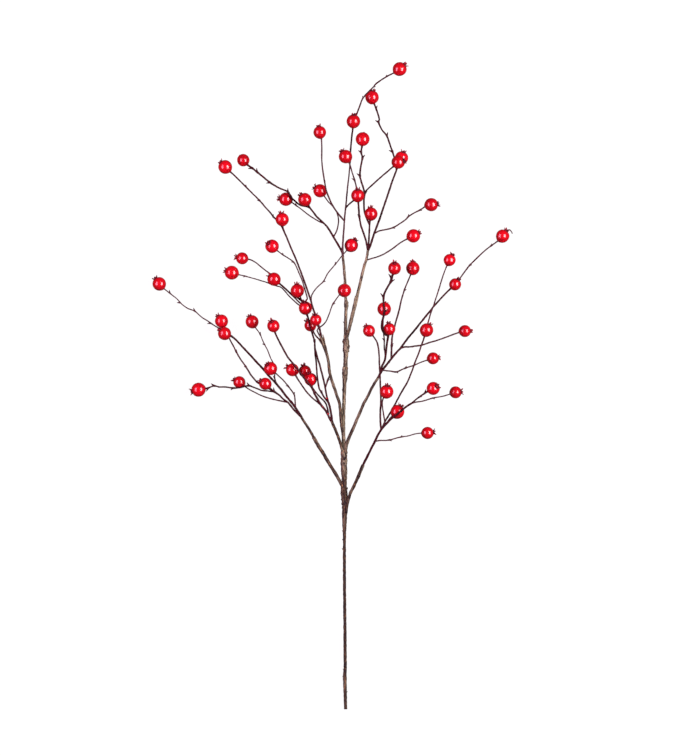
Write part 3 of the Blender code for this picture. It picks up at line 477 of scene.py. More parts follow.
skin_bump = add_node(tree, "Bump", {"Height": fine, "Strength": 0.5, "Distance": 0.0002})
set_inputs(surface, {"Base Color": twig_colour, "Roughness": 0.5, "IOR": 1.45,
                     "Specular IOR Level": 0.12, "Normal": skin_bump})

draw = random.Random(TOP_SEED)
form = new_form()
add_twigs(form, TOP_TWIGS, draw)
for low, high, tone, bark in LEADER_REACHES:
    add_reach(form, low, high, bark, TWIG_SIDES, tone, TWIG_RELIEF, TWIG_GRAIN)
for x, y, height, side in STEM_BUDS:
    add_nub(form, stem_line, (x, y, height), side, STEM_BUD_TONE)
finish_piece(form, "main_stem_twigs", twig_bark, "main_stem")

# The leader's hips
# Ripe rose hips, dried a little and lacquered: a thin glossy red skin over a firm round
# fruit, puckered towards the stalk. Each is grown on to the end of its twig.

STEM_HIP = (399.6, 69.3, 60.0, 6.7, (6, -5, 1))

HIP_SEGMENTS = 32
HIP_RINGS = 20
HIP_STRETCH = 1.02            # a hip is a little longer than wide
PLUMPNESS = 1.045             # over the radius of the hip's faceted solid
CROWN_DIMPLE = 0.07           # depth under the crown, as a share of the radius
DIMPLE_SPREAD = 0.4           # how far from the axis it reaches, in radians
STALK_SHOULDER = 0.05         # rise round the stalk
SHOULDER_SPREAD = 0.35
PUCKERS = 0.006               # height of the puckers in the dried skin
PUCKER_GRAIN = 4.5            # the more, the closer together they are
LEAST_PUCKERS = 0.4           # what is left of them on the half with the crown
DENTS = 0.016                 # depth of the broad dents between them
DENT_GRAIN = 1.6
DRIED = (0.3, 1.5)            # how dried the plumpest and the most shrunk hips are
NOISE_REACH = 50              # how far apart hips lie in the noise that dents them


def add_hip(form, hip, draw):
    """One hip, its crown along its own direction."""
    axis = heading(hip[4])
    across = axis.orthogonal().normalized()
    around = axis.cross(across)
    centre = place(*hip[:3])
    shift = Vector([draw.uniform(-NOISE_REACH, NOISE_REACH) for _ in range(3)])
    tone = draw.random()
    dried = draw.uniform(*DRIED)
    rings = []
    alongs = []
    for i in range(HIP_RINGS):
        polar = math.pi * (i + 0.5) / HIP_RINGS
        dimple = CROWN_DIMPLE * math.exp(-((math.pi - polar) / DIMPLE_SPREAD) ** 2)
        shoulder = STALK_SHOULDER * math.exp(-(polar / SHOULDER_SPREAD) ** 2)
        ring = []
        for k in range(HIP_SEGMENTS):
            turn = math.tau * k / HIP_SEGMENTS
            level = across * math.cos(turn) + around * math.sin(turn)
            outward = level * math.sin(polar) - axis * math.cos(polar)
            broad = noise.noise(outward * DENT_GRAIN + shift)
            small = noise.noise(outward * PUCKER_GRAIN + shift)
            pucker = LEAST_PUCKERS + (1 - LEAST_PUCKERS) * max(math.cos(polar), 0)
            reach = 1 - dimple + shoulder + dried * (DENTS * broad + PUCKERS * pucker * small)
            along_axis = -math.cos(polar) * reach * HIP_STRETCH
            spot = level * math.sin(polar) * reach + axis * along_axis
            ring.append(centre + spot * hip[3] * PLUMPNESS * UNIT)
        rings.append(ring)
        alongs.append((1 - math.cos(polar)) / 2)
    add_rings(form, rings, tone, alongs)


# Lacquered hip skin: clear gloss over a deep even red, with fine puckers some 2 mm apart that
# soften the highlights a little. Towards the stalk, mostly the hip's lower half, it turns darker
# and blotched. The blotches are partly the skin's own drying. The darkening is painted shade of
# that half and of the puckers' creases.
BLOTCH_GRAIN = 0.0045         # metres
SKIN_PUCKER_GRAIN = 0.0019
hip_skin, tree, surface = new_material("lacquered_hip_skin")
spot = add_node(tree, "TexCoord").outputs["Object"]
along = add_node(tree, "Attribute", attribute_name="along").outputs["Fac"]
tone = add_node(tree, "Attribute", attribute_name="tone").outputs["Fac"]
blotch = add_node(tree, "TexNoise", {"Vector": spot, "Scale": 1 / BLOTCH_GRAIN, "Detail": 2.0})
pucker = add_node(tree, "TexNoise", {"Vector": spot, "Scale": 1 / SKIN_PUCKER_GRAIN, "Detail": 3.0,
                                     "Roughness": 0.6, "Distortion": 0.6})
# Painted shade: darker towards the stalk, which mostly lies on the shaded lower half, and in the puckers'
# creases, broken up by drying blotches
stalk_side = add_node(tree, "MapRange", {"Value": along, "From Min": 0.75, "From Max": 0.10})
stalk_blotch_and_shade = add_node(tree, "Math", {0: stalk_side, 1: blotch}, operation="MULTIPLY")
crease_shade = add_node(tree, "MapRange", {"Value": pucker, "From Min": 0.52, "From Max": 0.40})
painted_shade_mix = add_node(tree, "Math", {0: stalk_blotch_and_shade, 1: crease_shade}, operation="MULTIPLY")
painted_shade_share = add_node(tree, "MapRange", {"Value": painted_shade_mix, "From Min": 0.03, "From Max": 0.42})
ripe = add_node(tree, "Mix", {"Factor": tone, "A": linear("#aa000f"), "B": linear("#be0014")},
                data_type="RGBA")
# the dark red mixed in here is painted shade over the skin's drying blotches
skin_colour = add_node(tree, "Mix", {"Factor": painted_shade_share, "A": ripe, "B": linear("#6c000a")},
                       data_type="RGBA")
skin_bump = add_node(tree, "Bump", {"Height": pucker, "Strength": 0.5, "Distance": 0.0006})
gloss_bump = add_node(tree, "Bump", {"Height": pucker, "Strength": 0.05, "Distance": 0.0005})
set_inputs(surface, {"Base Color": skin_colour, "Roughness": 0.4, "IOR": 1.45,
                     "Specular IOR Level": 0.04, "Coat Weight": 1.0, "Coat Roughness": 0.17,
                     "Coat IOR": 1.57, "Coat Normal": gloss_bump, "Normal": skin_bump})

top_hips = [hip for *_, hip in TOP_TWIGS] + [STEM_HIP]
form = new_form()
for hip in top_hips:
    add_hip(form, hip, draw)
finish_piece(form, "main_stem_hips", hip_skin, "main_stem")

# The leader's crowns
# What is left of the flower on each hip: a dark calyx ring with five dried, leafy sepals
# that grew with it and curl away from it.

# the calyx ring's outline: how far from the axis and how high, as shares of the radius
CALYX = [(0.34, -0.10), (0.40, 0.0), (0.38, 0.08), (0.28, 0.12), (0.20, 0.06), (0.10, 0.02)]
CALYX_SIDES = 14
SEPALS = 5
SEPAL_STRAY = 0.25            # radians that one strays from its even place round the ring
SEPAL_RING = 0.27             # how far from the axis they stand, as a share of the radius
SEPAL_ROOT = 0.05             # and how deep they start
SEPAL_LENGTH = (2.1, 3.6)      # plan units, the shortest and the longest
SEPAL_SPLAY = (math.radians(8), math.radians(36))
SEPAL_CURL = (math.radians(-30), math.radians(55))
SEPAL_WIDTHS = (1.8, 2.1, 2.2, 2.0, 1.8, 1.4, 0.7)
SEPAL_THICKNESS = 0.9
SEPAL_TAPER = 0.35            # how much of its thickness is gone at the tip
SEPAL_TWIST = 0.5             # radians, at most
SEPAL_FOLD = 0.35             # how high the edges stand, as a share of half the width
CURL_RISE = 1.5               # over 1: a sepal curls most near its tip

# round a sepal: across it, from one edge to the other, and up from it
SEPAL_OUTLINE = [(1, 0), (0.5, 1), (0, 1), (-0.5, 1), (-1, 0), (-0.5, -1), (0, -1), (0.5, -1)]


def add_crown(form, hip, draw):
    """The calyx ring and the sepals at the end of a hip."""
    axis = heading(hip[4])
    across = axis.orthogonal().normalized()
    around = axis.cross(across)
    radius = hip[3] * UNIT
    top = place(*hip[:3]) + axis * radius * (HIP_STRETCH - CROWN_DIMPLE)
    tone = draw.random()
    rings = []
    for width, rise in CALYX:
        ring = []
        for k in range(CALYX_SIDES):
            turn = math.tau * k / CALYX_SIDES
            outward = across * math.cos(turn) + around * math.sin(turn)
            ring.append(top + axis * rise * radius + outward * width * radius)
        rings.append(ring)
    add_rings(form, rings, tone, [0.0] * len(rings))
    spin = draw.uniform(0, math.tau)
    for i in range(SEPALS):
        turn = spin + math.tau * i / SEPALS + draw.uniform(-SEPAL_STRAY, SEPAL_STRAY)
        outward = across * math.cos(turn) + around * math.sin(turn)
        edge = axis.cross(outward)
        length = draw.uniform(*SEPAL_LENGTH) * UNIT
        lean = draw.uniform(*SEPAL_SPLAY)
        curl = draw.uniform(*SEPAL_CURL)
        twist = draw.uniform(-SEPAL_TWIST, SEPAL_TWIST)
        spot = top + outward * SEPAL_RING * radius - axis * SEPAL_ROOT * radius
        rings = []
        alongs = []
        last = len(SEPAL_WIDTHS) - 1
        for k, width in enumerate(SEPAL_WIDTHS):
            share = k / last
            angle = lean + curl * share ** CURL_RISE
            way = axis * math.cos(angle) + outward * math.sin(angle)
            flat = edge * math.cos(twist * share) + way.cross(edge) * math.sin(twist * share)
            thick = way.cross(flat)
            half = width * UNIT / 2
            deep = SEPAL_THICKNESS * UNIT / 2 * (1 - SEPAL_TAPER * share)
            fold = half * SEPAL_FOLD
            ring = [spot + flat * half * a + thick * (deep * b + fold * abs(a))
                    for a, b in SEPAL_OUTLINE]
            rings.append(ring)
            alongs.append(share)
            spot = spot + way * length / last
        add_rings(form, rings, tone, alongs)


# Dried sepal: leathery and dull, almost black-brown at the calyx and wine red at its thin
# end, so that the crowns read as dark tufts on the glossy hips.
MOTTLE_GRAIN = 0.0015         # metres
dried_sepal, tree, surface = new_material("dried_sepal")
spot = add_node(tree, "TexCoord").outputs["Object"]
along = add_node(tree, "Attribute", attribute_name="along").outputs["Fac"]
tone = add_node(tree, "Attribute", attribute_name="tone").outputs["Fac"]
mottle = add_node(tree, "TexNoise", {"Vector": spot, "Scale": 1 / MOTTLE_GRAIN, "Detail": 3.0})
ruddy = add_node(tree, "MapRange", {"Value": tone, "To Min": 0.35, "To Max": 1.0})
tip_share = add_node(tree, "Math", {0: along, 1: ruddy}, operation="MULTIPLY")
leather = add_node(tree, "Mix", {"Factor": mottle, "A": linear("#170408"), "B": linear("#470b15")},
                   data_type="RGBA")
sepal_colour = add_node(tree, "Mix", {"Factor": tip_share, "A": leather, "B": linear("#9c0e26")},
                        data_type="RGBA")
leaf_bump = add_node(tree, "Bump", {"Height": mottle, "Strength": 0.5, "Distance": 0.0003})
set_inputs(surface, {"Base Color": sepal_colour, "Roughness": 0.6, "IOR": 1.45,
                     "Specular IOR Level": 0.2, "Normal": leaf_bump})

form = new_form()
for hip in top_hips:
    add_crown(form, hip, draw)
finish_piece(form, "main_stem_crowns", dried_sepal, "main_stem")

# The lower right spray
# A side shoot bound to the stem low down on its right, in a sleeve of bark, with eight
# hips that reach out to the right and up.

LOWER_RIGHT = [
    (2.7, 3, [(346, 513, 19.6), (347.5, 503, 21.5), (350.5, 493, 24), (354, 486, 26), (358, 477, 28.6),
        (363, 465, 31.8)], None),
    (2.2, 1.6, [(361.5, 468.5, 31), (363, 465, 31.8), (368, 455, 34.4), (371, 449, 36), (375, 441, 38),
        (378, 435, 39.4), (381, 430, 40.5), (387, 423, 42), (391, 419, 42.8), (395, 416, 43.6),
        (400, 412, 44.8), (405, 407.5, 45.6), (412, 403, 46.2)], None),
    (1.2, 1.3, [(411, 403.6, 46.1), (416, 399.5, 47), (420, 396.5, 47.6, 0.3), (425, 393, 48.2, -0.9),
        (428.5, 391, 48.6)], (433.2, 388.4, 49, 6.3, (4, -2, 5))),
    (1.1, 0.75, [(410, 404.2, 46), (415, 402.3, 45), (422, 401.3, 43.4), (428, 399.5, 42),
        (433, 398, 40.6, 0.35), (438.5, 397, 39.2), (444, 396, 37.8), (449.5, 394.3, 36)],
        (455.6, 392.3, 34, 5.8, (8, -1, 2))),
    (1.1, 0.75, [(374.8, 441.4, 38), (380, 440.5, 37), (384, 440.5, 36), (390, 440, 34, 0.35),
        (395, 438.5, 32), (401, 437, 30, -0.3), (408, 436, 27.4), (415, 434, 24.8), (421, 433.2, 22.6)],
        (427.6, 433, 20.5, 5.9, (9, -1, 1))),
    (1.6, 1.1, [(381.2, 430, 40.5), (380.4, 422, 41.4), (380.3, 412, 42.6), (380.8, 404, 43.4),
        (380.8, 395, 44), (380.3, 387, 44.8), (380, 376, 46), (379.4, 365, 47.4), (378.9, 352, 49.2),
        (377.3, 343, 50.8), (375, 338.7, 51.8)], (369, 330.8, 54, 5.8, (-4, -6, 2))),
    (1.1, 1, [(381.8, 429.2, 40.6), (384.5, 422, 42), (384, 417, 43.4), (383, 411, 45), (382.2, 404, 47),
        (382.8, 399.5, 48.6)], (386.6, 391.7, 51, 6.6, (1, -8, 4))),
    (1.5, 1.2, [(381, 430.4, 40.3), (385, 421.5, 38), (388, 416.5, 35.5), (391, 411.5, 33.5),
        (393.3, 407, 32.6), (395.5, 403.5, 32.8), (400.5, 394, 34.5), (404, 388, 36), (407.5, 382, 37.5),
        (410, 376, 38.5), (412, 371, 39.4), (415.5, 361, 40.6), (418, 355, 41.2), (421.5, 345, 42),
        (423, 341, 42.3), (424.5, 336.5, 42.6)], (426.5, 330.1, 43.5, 6.5, (4, -8, 1))),
    (1.15, 0.8, [(422.4, 343, 42.1), (425, 334, 37.5), (427, 326, 35.4), (429, 319.5, 35.8),
        (430.5, 314, 36.4), (433.5, 306, 37.6), (435, 301, 38.6), (438, 292, 40.4), (441, 282, 42.2),
        (444, 273, 43.8), (446.5, 266.5, 45)], (449.6, 260, 46, 5.8, (3, -6, 1))),
    (1.1, 1, [(386.4, 423.6, 41.8), (389.5, 419, 40), (392, 416.5, 38.5)],
        (397.4, 411.8, 36.3, 6.7, (4, -7, 1))),
]
SLEEVE_THICKNESS = 2.3        # a bar without a hip is a sleeve if it is thicker than this


def grow_spray(node, twigs, seed, sleeve_tone):
    """A spray's sleeves of bark, twigs, hips and crowns, as pieces that stand for its solid."""
    draw = random.Random(seed)
    sleeves = [twig for twig in twigs if not twig[3] and twig[0] > SLEEVE_THICKNESS]
    shoots = [twig for twig in twigs if twig not in sleeves]
    form = new_form()
    for foot, tip, route, hip in sleeves:
        line = twig_line(foot, tip, route, hip)
        add_bar(form, line, STEM_SIDES, sleeve_tone, STEM_RELIEF, STEM_GRAIN)
    finish_piece(form, node + "_sleeves", stem_bark, node)
    form = new_form()
    add_twigs(form, shoots, draw)
    finish_piece(form, node + "_twigs", twig_bark, node)
    hips = [twig[3] for twig in twigs if twig[3]]
    form = new_form()
    for hip in hips:
        add_hip(form, hip, draw)
    finish_piece(form, node + "_hips", hip_skin, node)
    form = new_form()
    for hip in hips:
        add_crown(form, hip, draw)
    finish_piece(form, node + "_crowns", dried_sepal, node)


grow_spray("spray_lower_right", LOWER_RIGHT, seed=21, sleeve_tone=0.05)

# The lower left spray
# The widest side shoot: a thick sleeve of bark on the stem's left, and eight hips that
# fan out to the left. Two of them lie on the surface.

LOWER_LEFT = [
    (3, 3.2, [(343, 488, 21), (340.5, 482.5, 21.6), (338, 478, 22), (335, 473, 22.3), (331, 466.5, 22.6),
        (327, 460, 22.8), (323, 453, 23), (319, 447, 23.1), (315, 440, 23.1), (313.4, 437, 23.1)], None),
    (2.4, 2, [(315, 440, 23.1), (312, 434.5, 23), (308, 427.5, 22.9), (303, 420, 22.7),
        (300, 414.5, 22.5)], None),
    (2.1, 1.5, [(301, 416.5, 22.5), (295, 407, 22.2), (292, 403, 22), (289, 399.5, 21.8),
        (286, 396, 21.7), (283, 392, 21.5), (276, 383.5, 21.1), (268, 375, 20.6), (263, 369, 20.2),
        (257, 362.5, 19.8), (250, 355, 19.4), (243, 347.5, 19.1), (236, 340, 18.9), (231, 336, 19)],
        (224.4, 333.5, 20, 6.3, (-6, -5, 2))),
    (0.9, 0.7, [(237.5, 341.6, 19), (231.5, 336.5, 15), (226, 332.5, 11.6), (220, 328.8, 10.8),
        (215, 326, 10.5), (210.5, 323, 10.2, -0.8), (207, 320.5, 10), (202, 317.5, 9.6), (198, 314, 9.3),
        (194.5, 311, 9, 0.8), (188, 308.5, 8.6), (184, 306, 8.3), (180, 302.5, 8.1, -0.8),
        (177, 299, 7.9), (172, 295, 7.4), (169.5, 293, 7.1, 0.7), (165.5, 290, 6.6)],
        (159, 283.7, 5.6, 6.5, (-5, -7, 0.5))),
    (1.7, 1.3, [(301.5, 417.4, 22.6), (295, 411, 23.2), (291, 406.3, 23.5), (288, 402.5, 23.7),
        (285, 400.5, 23.8), (282, 398, 24), (279, 395, 24.3), (274, 391.5, 24.9, 1),
        (270.5, 388.7, 25.5)], (265.3, 383.8, 27, 5.9, (-6, -4, 2))),
    (1.4, 1, [(274.5, 391.8, 24.8), (271, 390, 22), (267, 387.5, 19.2), (262, 385, 18),
        (257.5, 382.5, 17.6, 0.4), (252, 376.5, 17.2), (249, 372, 17), (246, 367, 16.8, -0.35),
        (240, 358.5, 16.5), (236, 351.5, 16.2, 0.35), (233, 345.5, 15.8), (230, 340, 14.6),
        (227.2, 333, 13.6), (224.6, 327, 13.6)], (221.4, 321, 14, 6.3, (-5, -7, 1))),
    (1.2, 1.15, [(275, 392, 24.8), (268, 391, 22.5), (262, 390.5, 20.8), (258, 389, 19.6),
        (254, 387.5, 18.4), (249, 385.7, 17.2, 1), (244, 386.5, 16.2), (241, 387.5, 15.6),
        (238, 387.8, 15), (233, 388, 13.8, -0.7), (225, 387, 12), (219, 387, 10.6), (214, 385.8, 9.4, 1),
        (208, 388, 8, -1), (204.5, 388.7, 7)], (198.3, 389.7, 5.9, 6.8, (-7, 2, 0.5))),
    (1.05, 0.8, [(288, 402.5, 23.5), (281, 401, 22.2), (276, 400, 21.2), (270, 398.5, 20),
        (265, 397, 18.8), (260, 395, 17.6), (255, 392.5, 16.2), (250, 390, 14.6), (246, 387.3, 13.2)],
        (239.2, 382.2, 11.5, 5.8, (-6, -3, 1))),
    (1.05, 0.85, [(295.4, 408, 22.2), (295.2, 403, 22.8), (294.8, 398, 23.6), (294, 394, 24.2, 0.35),
        (291, 390, 24.8), (288, 386, 25.4, -0.35), (283, 380, 26.6), (279, 376.3, 27.6),
        (276.5, 374, 28.4)], (270.5, 368.5, 30, 6.4, (-5, -5, 5))),
    (0.9, 0.65, [(278, 386, 21.2), (275.5, 381, 21.6), (274.4, 377.5, 22, -0.4), (274.8, 373, 22),
        (274, 367, 22), (273, 362.5, 22.3), (271, 359, 22.6), (269, 354, 22.9), (267, 349, 23.2),
        (264.5, 344.5, 23.5, -0.4), (262, 339, 23.7), (260, 334, 23.9, 0.35), (258, 331, 24.1),
        (255.5, 327.8, 24.3)], (252, 321.7, 24.5, 6.3, (-3, -7, 1))),
]

grow_spray("spray_lower_left", LOWER_LEFT, seed=22, sleeve_tone=0.0)

# The middle left spray
# Two shoots side by side out of one sleeve on the stem's left, with ten hips. Three drops
# of the hips' lacquer have dried on the shoots where they meet.

MIDDLE_LEFT = [
    (2.6, 2.5, [(342.5, 451, 27), (341.2, 446, 28.6), (339.5, 440.5, 30), (337.3, 434.5, 31.3),
        (335.2, 429.3, 32.3), (333, 424.5, 33.2), (331.8, 421, 33.8)], None),
    (2.1, 1.3, [(332.4, 422.6, 33.5), (330, 419, 34), (328, 415, 34.5), (326, 411, 35),
        (323, 407.5, 35.6), (321, 405, 36), (318, 400, 36.9), (315, 394.5, 38), (312.5, 389, 39.2),
        (311, 386.5, 40), (308, 383, 41.2), (304, 378, 42.8), (301, 374, 43.8), (298, 370, 44.6),
        (294, 365, 45.4), (291, 361, 45.9), (288, 357.5, 46.2), (283, 348.5, 46.8), (280, 343, 47),
        (277, 337, 47.2), (275, 332.5, 47.3)], (273.4, 326, 47.5, 6.0, (-2, -5, 4))),
    (1.2, 1.15, [(323.5, 408, 35.5), (319, 403.5, 35.5), (313, 398.5, 35.5), (308, 393.5, 35.6),
        (303, 387, 35.7), (298.7, 380.5, 35.8), (296, 376, 35.9)], (292.3, 369.8, 36, 6.2, (-7, -4, 1))),
    (1.3, 1.2, [(328.7, 414.5, 34.4), (326.5, 405, 33.8), (324, 401, 33.7), (320, 397, 33.7),
        (316, 392.5, 33.8), (312.6, 388.2, 33.9)], (310.6, 379.3, 34, 6.1, (-2, -8, 2))),
    (1.5, 1.4, [(314, 390.2, 33.8), (311.6, 386.5, 27.5), (308.6, 379.5, 25.6)],
        (304.8, 371.3, 27, 5.9, (-2, -8, 2))),
    (1.9, 1.8, [(332.2, 422.4, 33.5), (331.3, 415, 35), (330, 408, 36.4), (328.5, 402.5, 37.5)], None),
    (1.5, 1.4, [(328.9, 404, 37.2), (327.2, 398, 38.4), (326.3, 394, 39.2), (325.3, 388, 40.3),
        (324, 382, 41.3), (322.6, 376, 42.3), (321, 370, 43.2), (319.5, 364, 44), (318, 359.5, 44.6),
        (316.5, 354, 45.2), (315, 348.5, 45.8), (314.5, 341, 46.8, 0.3), (313, 336, 47.5),
        (311.2, 330, 48.4), (309.6, 324, 49.2), (308.2, 318, 49.8), (306.8, 314.5, 50)],
        (305.4, 308.1, 50, 6.4, (-1, -6, 3))),
    (1.3, 1.3, [(328.6, 403, 37.3), (324, 397, 36.9), (321.5, 392.5, 37.2, 0.4), (319, 388, 38),
        (318, 382, 39), (317.2, 376, 40), (316.6, 368, 41.3), (316, 360, 42.6), (315.2, 355, 43.6),
        (314.8, 347.5, 45.9)], None),
    (1.2, 1.0, [(325.3, 388, 40.3), (326.6, 384, 40.6), (327.5, 380.5, 40.8, 0.4), (329, 377, 41),
        (330.2, 373.5, 41.2)], None),
    (1.5, 1.4, [(308.3, 318.5, 49.6), (306.4, 312, 43.6), (304.6, 306, 41.4), (303, 302.5, 41.8),
        (299, 298.7, 42.5), (295, 296.3, 43), (290, 293, 43.6), (285, 288.3, 44.2), (280, 284, 44.8)],
        (274, 279.2, 45.5, 6.4, (-7, -6, 1))),
    (1.1, 1, [(303, 302.5, 41.8), (301, 298.8, 43.5)], (297.4, 290.7, 47, 6.5, (-1, -8, 1))),
    (1.25, 0.85, [(304.4, 305.8, 41.4), (300, 303, 41), (295.3, 298.4, 40.8), (290, 293.3, 40.6),
        (286, 289, 40.4), (281, 285, 39.9), (277, 281, 38.4), (273, 277, 37.2), (269, 273, 36.6),
        (265, 270, 36.2), (260, 266, 35.8), (255, 262, 35.4), (250, 259.6, 35.1)],
        (242.1, 258.3, 34.5, 5.8, (-9, -2, 1))),
    (1, 0.7, [(305, 307.5, 41.4), (299, 305, 40.6), (294, 300.8, 39.4), (289, 296, 38.4),
        (285, 291.3, 38), (281, 287.3, 37.8), (277, 286, 37.6), (272, 284.7, 37.2, 0.35),
        (267, 282.5, 36.6), (262, 281, 36), (255, 278.8, 35), (250, 277.5, 34.2), (245, 276, 33.3, -0.35),
        (241, 275.2, 32.6)], (231.7, 272.6, 31, 6.7, (-8, -3, 1))),
    (1.1, 0.75, [(303, 302.8, 41.8), (305.2, 301.5, 43), (307.3, 299, 44.5), (306.5, 295, 45.6),
        (304.3, 287.5, 47.4), (302, 280, 48.8), (299, 273, 49.8), (296, 266, 50.4),
        (293.5, 262, 50.7, -0.35), (288, 258, 51), (283, 255, 51.2, 0.35), (278, 251.2, 51.4)],
        (272.1, 246.3, 51.5, 6.5, (-5, -4, 6))),
]

grow_spray("spray_middle_left", MIDDLE_LEFT, seed=23, sleeve_tone=0.25)

# the drops: where they are and how wide
DROPS = [(326.6, 398.2, 38.9, 1.9), (322.6, 406.6, 36.3, 1.5), (328.0, 413.8, 35.4, 1.8)]

# a drop from its foot to its top: how high and how wide, as shares of its width
DROP_SHAPE = [(-0.5, 0.2), (-0.4, 0.6), (0.0, 1.0), (0.4, 0.6), (0.5, 0.2)]
DROP_TONE = 0.5

form = new_form()
for x, y, height, width in DROPS:
    drop = [Vector((x, y, height + rise * width, share * width)) for rise, share in DROP_SHAPE]
    add_bar(form, drop, BUD_SIDES, DROP_TONE, BUD_RELIEF, BUD_GRAIN)
finish_piece(form, "spray_middle_left_drops", hip_skin, "spray_middle_left")

# The inner left spray
# A straight shoot that runs up beside the stem before it leaves it, in a sleeve of bark.
# One of its six hips hangs in front of the stem.

INNER_LEFT = [
    (2.6, 2.5, [(342.6, 432, 28.6), (341.3, 424, 31), (340.6, 415, 33), (340, 408, 34.6),
        (339.6, 404, 35.6), (338.5, 400, 36.8), (337, 396, 38), (335.5, 391.5, 39.3), (334, 387, 40.6),
        (332.5, 382.5, 42), (331, 378, 43.6), (330, 374, 45), (329.3, 370, 46.2), (328.5, 362, 48),
        (327, 355, 49.4), (325.3, 350, 50.2)], None),
    (3.0, 3.4, [(326, 352, 50), (323.4, 344, 51.2), (321.3, 338, 52)], None),
    (1.8, 1.25, [(321.8, 340, 51.8), (320.8, 334, 53), (319.6, 329, 54), (318, 323, 55), (316.5, 318, 56),
        (315, 313.5, 56.8), (313.5, 310, 57.3), (312.2, 306, 57.8), (311, 301, 58.3), (309, 295, 58.8),
        (306.7, 288, 59.3), (304.2, 281, 59.6), (302, 275, 59.7), (299, 267, 59.4), (295, 257, 59),
        (291, 248, 58.6), (287, 238, 58.2), (284, 231, 58.2), (282.6, 227, 58.4)],
        (282.2, 219.5, 58.5, 6.4, (-1, -8, 1))),
    (1.3, 1.1, [(287.6, 239.5, 58.2), (284, 231.5, 55), (281.5, 226, 52), (278.5, 222, 50.2),
        (275.5, 219, 49), (273, 216.5, 48, 0.35), (271, 213.5, 47.2), (266, 208, 45.6),
        (259.5, 200.5, 43.6, -0.4), (253, 194, 42), (246, 187, 40.4, 0.4), (236, 177, 38.4),
        (230, 171.5, 37.2)], (225.2, 166.9, 36, 6.6, (-5, -5, 1))),
    (1.05, 0.7, [(320.9, 338.6, 51.8), (318.5, 333.5, 52.2), (317, 330.3, 52.6), (318.8, 328, 53),
        (323, 325, 53.8), (326, 321.5, 54.4), (328, 317, 55), (329.8, 312.5, 55.6), (331, 308.5, 56.2),
        (333, 304, 57, 0.4), (336, 299.5, 57.8), (339, 295.5, 58.2), (341, 293.3, 58)],
        (344.4, 290.5, 54, 6.5, (3, -2, -6))),
    (0.95, 0.65, [(311.6, 303.8, 58), (311.2, 297, 56.8), (313, 293, 55.6), (314.5, 290.5, 54.8),
        (318, 286.5, 53.2), (323.5, 281.5, 51, 0.35), (325.3, 278, 49.8), (328, 273, 48),
        (332.5, 267.7, 45.8), (335.5, 264, 44, -0.35), (338, 261, 42.4), (341, 257, 40.2),
        (344.5, 253, 38.8), (347, 250, 38.6)], (351.3, 245.3, 39, 6.5, (5, -7, 1))),
    (0.9, 0.8, [(320.9, 334.6, 52.8), (319.5, 330, 56), (317.8, 326.5, 59)],
        (315.8, 320, 62.5, 5.6, (-1, -6, 3))),
    (1.2, 1.1, [(323.4, 344, 51), (319.8, 340, 49.5), (316.4, 336.4, 46.3), (313.8, 332.5, 43.3)],
        (310.3, 325.5, 40, 5.7, (-4, -6, 1))),
]

grow_spray("spray_inner_left", INNER_LEFT, seed=24, sleeve_tone=0.4)

# The torn upper end of its sleeve: strips of bark that stand apart, each with its foot,
# its tip and its width.
STRIPS = [
    ((324.6, 347.0, 51.6), (322.8, 334.5, 54.2), 1.7),
    ((323.8, 346.0, 52.4), (319.6, 335.5, 55.0), 1.7),
    ((325.6, 351.0, 51.4), (317.8, 338.5, 52.4), 1.5),
    ((326.8, 355.0, 50.4), (324.4, 341.0, 53.0), 1.7),
]
STRIP_TIP = 0.5               # how wide a strip still is at its tip
STRIP_BULGE = 0.6             # plan units that its middle stands off to the right, and up
STRIP_BELLY = 0.15            # how much wider than even it is there
STRIP_TONE = 0.6

form = new_form()
for foot, tip, width in STRIPS:
    foot = Vector((*foot, width))
    tip = Vector((*tip, width * STRIP_TIP))
    middle = foot.lerp(tip, 0.5) + Vector((STRIP_BULGE, 0, STRIP_BULGE, width * STRIP_BELLY))
    line = smooth_line([foot, middle, tip], STEM_STEP)
    add_bar(form, line, BUD_SIDES, STRIP_TONE, WRAP_RELIEF, WRAP_GRAIN)
finish_piece(form, "spray_inner_left_strips", stem_bark, "spray_inner_left")

# The middle right spray
# The longest shoot on the right, with eight hips. Its two outermost ones lie on the
# surface, and the last of them has kept one long curled sepal.

